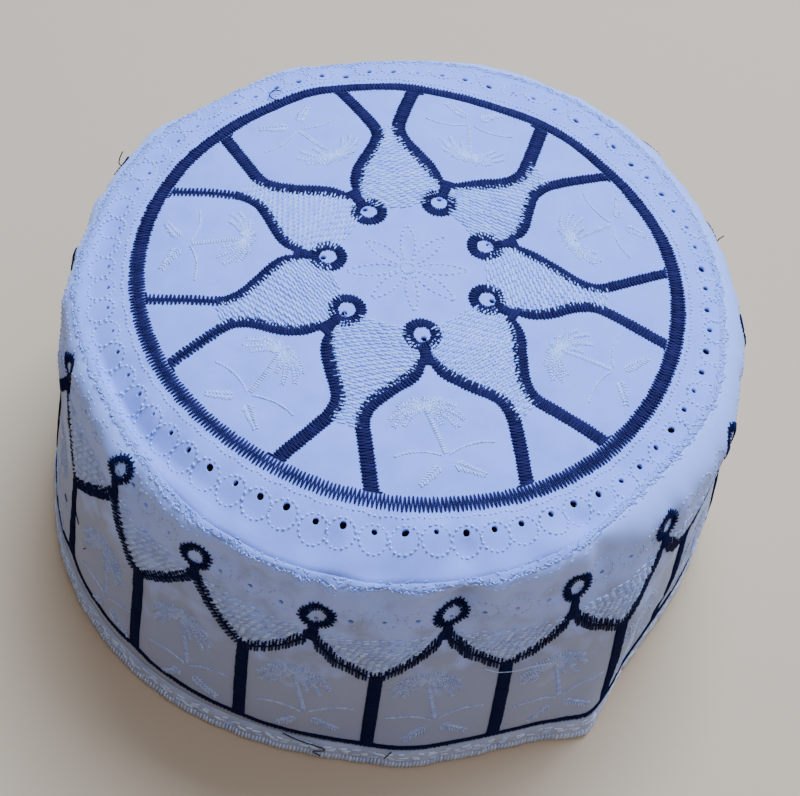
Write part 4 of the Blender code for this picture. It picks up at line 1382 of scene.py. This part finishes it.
def fill(outline, way, pitch, length, draw, slip=0.37, lean=0.12):
    """Start and end points of a brick pattern of parallel stitches inside an outline."""
    way = np.array(way, float) / np.hypot(*way)
    cross = np.array((-way[1], way[0]))
    along, over = outline @ way, outline @ cross
    starts, ends = [], []
    low, high = over.min() + pitch / 2, over.max()
    for n, level_at in enumerate(np.arange(low, high, pitch)):
        hits = []
        for k in range(len(outline)):
            a, b = over[k - 1], over[k]
            if (a <= level_at) != (b <= level_at):
                share = (level_at - a) / (b - a)
                hits.append(along[k - 1] + (along[k] - along[k - 1]) * share)
        hits.sort()
        for first, last in zip(hits[::2], hits[1::2]):
            cut = first - ((n * slip) % 1.0) * length
            while cut < last:
                a, b = max(cut, first), min(cut + length, last)
                if b - a > 0.35 * length:
                    up = level_at + draw.uniform(-0.12, 0.12)
                    starts.append(way * (a + draw.uniform(-0.25, 0.1)) + cross * (up - lean))
                    ends.append(way * (b + draw.uniform(-0.1, 0.25)) + cross * (up + lean))
                cut += length
    return np.array(starts), np.array(ends)


# How far below their loops the kites between the arches reach
KITE_END = -25.5
draw = np.random.RandomState(71)
kite_clouds = []
for k, arch in enumerate(CROWN_ARCHES):
    following = CROWN_ARCHES[(k + 1) % len(CROWN_ARCHES)]
    right, left = arch_leg(arch, 1), arch_leg(following, -1)
    right, left = (leg[leg[:, 1] > KITE_END] for leg in (right, left))
    hub = np.zeros((1, 3))
    side_a = on_arch(arch, np.vstack((hub, right))[:, :2])
    side_b = on_arch(following, np.vstack((hub, left))[:, :2])
    outline = np.vstack((side_a, side_b[::-1]))
    axis = outline.mean(0)
    tangent = (-axis[1], axis[0])
    starts, ends = fill(outline, tangent, 0.74, 2.5, draw, lean=0.22)
    clear = np.ones(len(starts), bool)
    for row in (arch, following):
        loop_centre = on_arch(row, np.zeros((1, 2)))[0]
        clear &= np.hypot(*((starts + ends) / 2 - loop_centre).T) > 3.0
    run = (starts[clear], ends[clear])
    kite_clouds.append(laid(on_crown, run, 0.64, 0.62, (0.2, 1.0), 0.08, draw))
sew("kite_fill", kite_clouds, white_finish, 51, thread=fine_thread, spread=0.2)


def dotted(path, pitch, length, draw):
    """Short stitches one after another along a path of plane points."""
    run = distance_along(path)
    count = max(1, int(run[-1] / pitch))
    marks = (np.arange(count) + 0.5) * run[-1] / count + draw.uniform(-0.08, 0.08, count)
    starts, ends = (
        np.stack([np.interp(marks + half, run, path[:, k]) for k in (0, 1)], axis=1)
        for half in (-length / 2, length / 2)
    )
    slip = draw.uniform(-0.10, 0.10, (count, 2))
    return starts + slip, ends - slip


STAR_CENTRE = (-1.2, -1.4)
STAR_PETALS, STAR_REACH, PETAL_WIDTH = 8, 15.0, 1.7
STAR_HUB = 1.0
# Each beaded line: its path, the distance between its stitches, and their length
bead_paths = []
draw = np.random.RandomState(72)
t = np.linspace(0, 1, 30)
for petal in range(STAR_PETALS):
    turned = math.radians(360.0 / STAR_PETALS * petal + 12 + draw.uniform(-5, 5))
    reach = STAR_REACH * draw.uniform(0.86, 1.06)
    for side in (1, -1):
        out = STAR_HUB + t * (reach - STAR_HUB)
        aside = side * PETAL_WIDTH * draw.uniform(0.8, 1.2) * np.sin(math.pi * t) ** 0.8
        x = STAR_CENTRE[0] + out * math.cos(turned) - aside * math.sin(turned)
        y = STAR_CENTRE[1] + out * math.sin(turned) + aside * math.cos(turned)
        bead_paths.append((np.stack((x, y), axis=1), 1.45, 0.95))
turns = np.radians(np.linspace(0, 360, 41))
for azimuth, radius in crown_eyelets:
    x, y = polar(radius + 1.6, azimuth)
    circle = np.stack((x + 3.3 * np.cos(turns), y + 3.3 * np.sin(turns)), axis=1)
    bead_paths.append((circle, 1.22, 0.80))
azimuths = np.linspace(0, 360, 1441)
wave = 0.55 * np.abs(np.sin(np.radians(azimuths) * EYELET_COUNT / 2))
scallop = plane_points(column(azimuths, RING) + 3.0 + wave, azimuths)
bead_paths.append((scallop, 1.25, 0.62))
bead_clouds = []
for path, pitch, length in bead_paths:
    run = dotted(path, pitch, length, draw)
    bead_clouds.append(laid(on_crown, run, 0.60, 0.66, (0.3, 1.0), 0.03, draw))
sew("crown_chain_stitch", bead_clouds, white_finish, 52, thread=fine_thread, spread=0.25)

# A palm in mm from its trunk's foot: fronds as (angle from the top, length, droop)
TRUNK_TOP = (-3.2, 12.0)
FRONDS = (
    (205, 5.8, 3.0), (188, 7.6, 3.6), (168, 8.6, 3.4), (146, 7.4, 2.0), (118, 5.4, 0.6),
    (84, 4.8, 0.2), (52, 6.8, 1.2), (26, 8.8, 2.6), (4, 9.0, 4.0), (-18, 7.2, 4.0), (-44, 4.8, 2.6),
)
GROUND = (((-0.6, -0.8), (-6.0, 1.8), (-12.0, -0.4)), ((0.8, -0.6), (6.0, 3.0), (12.0, 2.2)))
SPRIGS = (((-1.6, -3.2), (-3.6, -5.6), (-6.4, -7.6)), ((1.4, -3.0), (4.4, -4.4), (8.6, -6.4)))


def bent(points, count):
    """Points along a curve through an end, a bend and another end."""
    a, b, c = (np.array(p, float) for p in points)
    t = np.linspace(0, 1, count)[:, None]
    return (1 - t) ** 2 * a + 2 * (1 - t) * t * b + t**2 * c


def palm(draw, tall):
    """Start points, end points and widths of one palm's stitches, in its own mm."""
    starts, ends, widths = [], [], []

    def add(new_starts, new_ends, width):
        starts.extend(new_starts)
        ends.extend(new_ends)
        widths.extend([width] * len(new_starts))

    def leaflets(curve, pitch, length, open_angle, width):
        way = np.gradient(curve, axis=0)
        way /= np.linalg.norm(way, axis=1)[:, None]
        run = distance_along(curve)
        for mark in np.arange(pitch / 2, run[-1], pitch):
            at = np.array([np.interp(mark, run, curve[:, k]) for k in (0, 1)])
            ahead = np.array([np.interp(mark, run, way[:, k]) for k in (0, 1)])
            aside = np.array((-ahead[1], ahead[0]))
            reach = length * (1 - 0.5 * mark / run[-1]) * draw.uniform(0.8, 1.15)
            for sign in (1, -1):
                tip = ahead * math.cos(open_angle) + sign * aside * math.sin(open_angle)
                add([at], [at + tip * reach], width)

    trunk = bent(((0.0, 0.0), (-1.2, 6.0), TRUNK_TOP), 20)
    for k in range(19):
        at = np.array([np.interp(k / 19, np.linspace(0, 1, 20), trunk[:, j]) for j in (0, 1)])
        half = 0.85 - 0.25 * k / 19
        add([at + (-half, -0.22)], [at + (half, 0.22)], 0.58)
    for angle, length, droop in FRONDS:
        turned = math.radians(angle + draw.uniform(-3, 3))
        reach = np.array((math.cos(turned), 0.62 * math.sin(turned))) * length
        top = np.array(TRUNK_TOP)
        curve = bent((top, top + reach * 0.6 + (0, 0.9), top + reach - (0, droop)), 14)
        add(*dotted(curve, 0.86, 0.70, draw), 0.52)
        leaflets(curve, 0.72, 1.7, 0.85, 0.36)
    for points in GROUND:
        line_starts, line_ends = dotted(bent(points, 20), 0.9, 1.25, draw)
        add(line_starts - (0, 0.18), line_ends + (0, 0.18), 0.50)
    for points in SPRIGS:
        leaflets(bent(points, 14), 0.85, 2.3, 0.75, 0.58)
    return np.array(starts) * (1, tall), np.array(ends) * (1, tall), np.array(widths)


# Distance of every palm's foot from the crown's centre
PALM_FOOT = 54.5
palm_clouds = []
for number, arch in enumerate(CROWN_ARCHES, start=1):
    draw = np.random.RandomState(300 + number)
    starts, ends, widths = palm(draw, 1.0)
    drop = (0.4, arch[2] - PALM_FOOT)
    run = (starts + drop, ends + drop)
    palm_clouds.append(laid(crown_arch_surface(arch), run, widths, 0.44, (0.3, 1.0), 0.02, draw))
sew("crown_palms", palm_clouds, tonal_finish, 53, thread=fine_thread, spread=0.15)

# White needlework on the side band
# The same thread fills the dips between the arches and draws a palm in every panel. Small
# stitches catch the seam's picot edge, and the hem is dashed and overlocked with it.
valley_clouds, palm_clouds, bead_clouds = [], [], []
# Height of every palm's foot above the table, and how much taller it is than on the crown
SIDE_PALM_FOOT, SIDE_PALM_TALL = 24.0, 1.35
for k, arch in enumerate(SIDE_ARCHES):
    draw = np.random.RandomState(400 + k)
    surface = panel_surface(arch[0], arch[2])
    scale = flat_scale(arch[0])
    following = SIDE_ARCHES[(k + 1) % ARCH_COUNT]
    gap = following[0] + (360 if k == ARCH_COUNT - 1 else 0) - arch[0]
    shift = np.array((gap / scale, following[2] - arch[2]))
    reach = (arch[1] - arch[0]) / scale
    right, _ = side_half(arch, reach, 1, False)
    left, _ = side_half(following, gap / scale - reach, -1, False)
    right_line = smooth_path(right, 1.0)[2:, :2]
    left_line = smooth_path([(-x, y, w) for x, y, w in left], 1.0)[2:, :2] + shift
    top_left, top_right = left_line[0] + (0, 3.5), right_line[0] + (0, 3.5)
    top = bent((top_left, (top_left + top_right) / 2 - (0, 2.0), top_right), 12)
    outline = np.vstack((right_line, left_line[::-1], top[1:-1]))
    starts, ends = fill(outline, (1.0, 0.08), 0.84, 1.9, draw, slip=0.43, lean=0.12)
    starts, ends = starts * 0.92 + ends * 0.08, ends * 0.92 + starts * 0.08
    # The filling thins out upwards
    depth = (starts[:, 1] - outline[:, 1].min()) / np.ptp(outline[:, 1])
    keep = draw.uniform(0, 1, len(starts)) > np.clip((depth - 0.6) * 1.4, 0, 0.55)
    starts, ends, depth = starts[keep], ends[keep], depth[keep]
    tones = np.clip(draw.uniform(0.3, 1.2, len(starts)) - 0.3 * depth, 0, 1)
    valley_clouds.append(cloud(surface, starts, ends, 0.52, 0.48, tones, lifted(0.08, len(starts), draw)))
    starts, ends, widths = palm(draw, SIDE_PALM_TALL)
    drop = (0.3, SIDE_PALM_FOOT - arch[2])
    run = (starts + drop, ends + drop)
    palm_clouds.append(laid(surface, run, widths, 0.44, (0.0, 0.8), 0.02, draw))
sew("valley_fill", valley_clouds, band_white_painted_light, 54, thread=fine_thread, spread=0.25)
sew("side_palms", palm_clouds, band_tonal_painted_shade, 55, thread=fine_thread, spread=0.15)

draw = np.random.RandomState(73)
turns = np.radians(np.linspace(0, 360, 33))
circle = np.stack((3.1 * np.cos(turns), 3.1 * np.sin(turns) + 0.8), axis=1)
for _, centre, in_loop in side_eyelets:
    if not in_loop:
        starts, ends = dotted(circle, 1.4, 0.8, draw)
        heights = lifted(0.02, len(starts), draw)
        tones = draw.uniform(0.0, 0.8, len(starts))
        surface = panel_surface(centre, around(centre, loop_heights))
        bead_clouds.append(cloud(surface, starts, ends, 0.44, 0.34, tones, heights))
sew("side_chain_stitch", bead_clouds, band_tonal_painted_shade, 56, thread=fine_thread, spread=0.3)


def seam_skin(points, lift):
    """Surface of the seam: (distance around, offset down the band)."""
    return on_seam(np.degrees(points[:, 0] / SEAM_RADIUS), points[:, 1], lift)


draw = np.random.RandomState(74)
teeth = np.arange(picots) * 2 * math.pi * SEAM_RADIUS / picots
half = math.pi * SEAM_RADIUS / picots
teeth = teeth[plainness(teeth / SEAM_RADIUS - math.radians(PLAIN_MIDDLE)) < 0.5]
teeth = teeth + draw.uniform(-0.15, 0.15, len(teeth))
teeth = teeth[draw.uniform(0, 1, len(teeth)) > 0.22]
count = len(teeth)
seam_clouds = []
tips = np.stack((teeth + draw.uniform(-0.3, 0.3, count), 1.45 + draw.uniform(-0.35, 0.35, count)), axis=1)
for sign in (1, -1):
    starts = np.stack((teeth + sign * half, 0.7 + draw.uniform(-0.25, 0.25, count)), axis=1)
    heights = lifted(0.25, count, draw, 0.2)
    seam_clouds.append(cloud(seam_skin, starts, tips, 0.32, 0.30, draw.uniform(0.1, 0.7, count), heights))
starts = np.stack((teeth - 0.5, 3.3 + draw.uniform(-0.3, 0.4, count)), axis=1)
ends = starts + np.stack((np.full(count, 1.0), draw.uniform(-0.3, 0.3, count)), axis=1)
seam_clouds.append(cloud(seam_skin, starts, ends, 0.34, 0.28, draw.uniform(0.1, 0.7, count), 0.02))
# Short overcast stitches along the ridge itself
count = 1400
marks = np.sort(draw.uniform(0, 2 * math.pi * SEAM_RADIUS, count))
offsets = draw.uniform(-1.1, 1.4, count)
starts = np.stack((marks, offsets), axis=1)
ends = starts + np.stack((draw.uniform(0.4, 1.2, count), draw.uniform(-0.6, 0.9, count)), axis=1)
lifts = 0.26 - 0.18 * np.abs(offsets) + draw.uniform(0, 0.1, count)
seam_clouds.append(cloud(seam_skin, starts, ends, 0.28, 0.26, draw.uniform(0.0, 0.5, count), lifts))
sew("seam_picots", seam_clouds, white_finish, 57, thread=fine_thread, spread=0.25)


def hem_skin(points, lift):
    """Surface of the hem strip: (distance around, height)."""
    azimuth = np.degrees(points[:, 0] / HEM_RADIUS)
    outs, levels, shares = zip(*HEM_PROFILE[1:-1])
    out, share = (np.interp(points[:, 1], levels, values) for values in (outs, shares))
    ripple = np.interp(azimuth % 360, hem_azimuths, hem_ripple, period=360)
    place = hem_surface(azimuth, points[:, 1], out + share * ripple + lift)
    return place, level_points(1.0, azimuth)


draw = np.random.RandomState(75)
hem_clouds = []
# Rows of slanting dashes: height, distance between them, length
for height, pitch, length in ((4.7, 3.7, 2.9), (5.9, 3.4, 3.1), (7.1, 3.9, 2.8)):
    marks = np.arange(0, HEM_LENGTH - pitch / 2, pitch) + draw.uniform(0, pitch)
    count = len(marks)
    marks = marks + draw.uniform(-0.9, 0.9, count)
    level_at = height + draw.uniform(-0.4, 0.4, count)
    lean = draw.uniform(-0.5, 0.7, count)
    half = length / 2 * draw.uniform(0.6, 1.15, count)
    starts = np.stack((marks - half, level_at - lean / 2), axis=1)
    ends = np.stack((marks + half, level_at + lean / 2), axis=1)
    hem_clouds.append(laid(hem_skin, (starts, ends), 0.55, 0.50, (0.1, 1.0), 0.04, draw))
marks = np.arange(0, HEM_LENGTH - 0.4, 0.9)
count = len(marks)
marks = marks + draw.uniform(-0.1, 0.1, count)
starts = np.stack((marks, np.full(count, 0.25)), axis=1)
ends = np.stack((marks + 0.28, 3.3 + draw.uniform(-0.3, 0.3, count)), axis=1)
hem_clouds.append(cloud(hem_skin, starts, ends, 0.58, 0.80, draw.uniform(0.1, 0.8, count), 0.2))
hem_thread = thread_finish("hem_cotton_thread", (0.62, 0.66, 0.80), (0.95, 0.97, 1.0), 0.4, 0.6)
sew("hem_overlock", hem_clouds, hem_thread, 58, thread=fine_thread, spread=0.25)

# Loose ends
# Flaws that the photo shows: cut tails of navy thread at the hem, the ring and the outline,
# a few stray dashes on the far left panel, and a white hair across one post.

# Length of a degree around the band, in mm
TAIL_SCALE = 1.6
# Points of each loose navy end: (azimuth, station, height over the cloth)
TAILS = (
    (
        (-99.6, 9.4, 0.6),
        (-97.0, 8.2, 1.0),
        (-93.4, 7.0, 1.3),
        (-92.8, 6.0, 1.4),
        (-94.6, 4.9, 1.6),
        (-93.4, 3.4, 1.7),
    ),
    ((-82.6, 8.8, 0.7), (-83.2, 7.4, 1.2), (-83.6, 6.2, 1.3)),
    ((-146.5, 40.0, 0.4), (-144.4, 38.4, 0.5), (-142.4, 36.0, 0.4)),
    ((-150.5, 31.0, 0.4), (-149.3, 30.2, 0.4)),
    ((-140.2, 30.0, 0.3), (-139.6, 31.6, 0.4)),
    ((25.0, 69.0, 0.3), (25.4, 71.0, 2.2), (25.2, 72.5, 3.6)),
    ((160.5, 77.0, 0.4), (161.0, 79.0, 1.8), (160.0, 80.4, 3.2)),
)
# The same for the end at the ring, by azimuth, radius and height
RING_TAIL = ((128.0, 68.0, 0.4), (129.4, 70.6, 0.9), (127.6, 72.0, 1.1), (126.2, 71.4, 0.5))
HAIR = ((-70.0, 43.0, 0.3), (-66.6, 41.2, 0.9), (-62.5, 42.4, 0.6), (-59.5, 41.4, 0.2))


def loose(surface, rows, width):
    """A thread lying loose: stitches end to end through (x, y, height) points of a surface."""
    line = smooth_path(rows, 0.6)
    place, normal = surface(line[:, :2], line[:, 2])
    along = np.roll(place, -1, axis=0)[:-1] - place[:-1]
    reach = np.linalg.norm(along, axis=1)
    count = len(reach)
    return {
        "place": (place[1:] + place[:-1]) / 2,
        "along": along / reach[:, None],
        "outward": normal[:-1],
        "size": np.stack((reach * 1.35, np.full(count, width * MM), np.full(count, width * MM)), axis=1),
        "tone": np.full(count, 0.2),
        "reach": reach / MM,
    }


def tail_surface(points, lift):
    """Surface of the band by distance around it and station."""
    return on_wall(points[:, 0] / TAIL_SCALE, points[:, 1], lift)


tails = [loose(tail_surface, [(a * TAIL_SCALE, s, h) for a, s, h in tail], 0.34) for tail in TAILS]
tails.append(loose(on_crown, [(*polar(r, a), h) for a, r, h in RING_TAIL], 0.32))
sew("navy_loose_ends", tails, band_navy_painted_shade, 59, thread=fine_thread, spread=0.0)
hair = loose(tail_surface, [(a * TAIL_SCALE, s, h) for a, s, h in HAIR], 0.22)
hair["tone"][:] = 1.0
sew("white_hair", [hair], white_finish, 60, thread=fine_thread, spread=0.0)

for spare in (satin_thread, fine_thread):
    spare_mesh = spare.data
    bpy.data.objects.remove(spare)
    bpy.data.meshes.remove(spare_mesh)
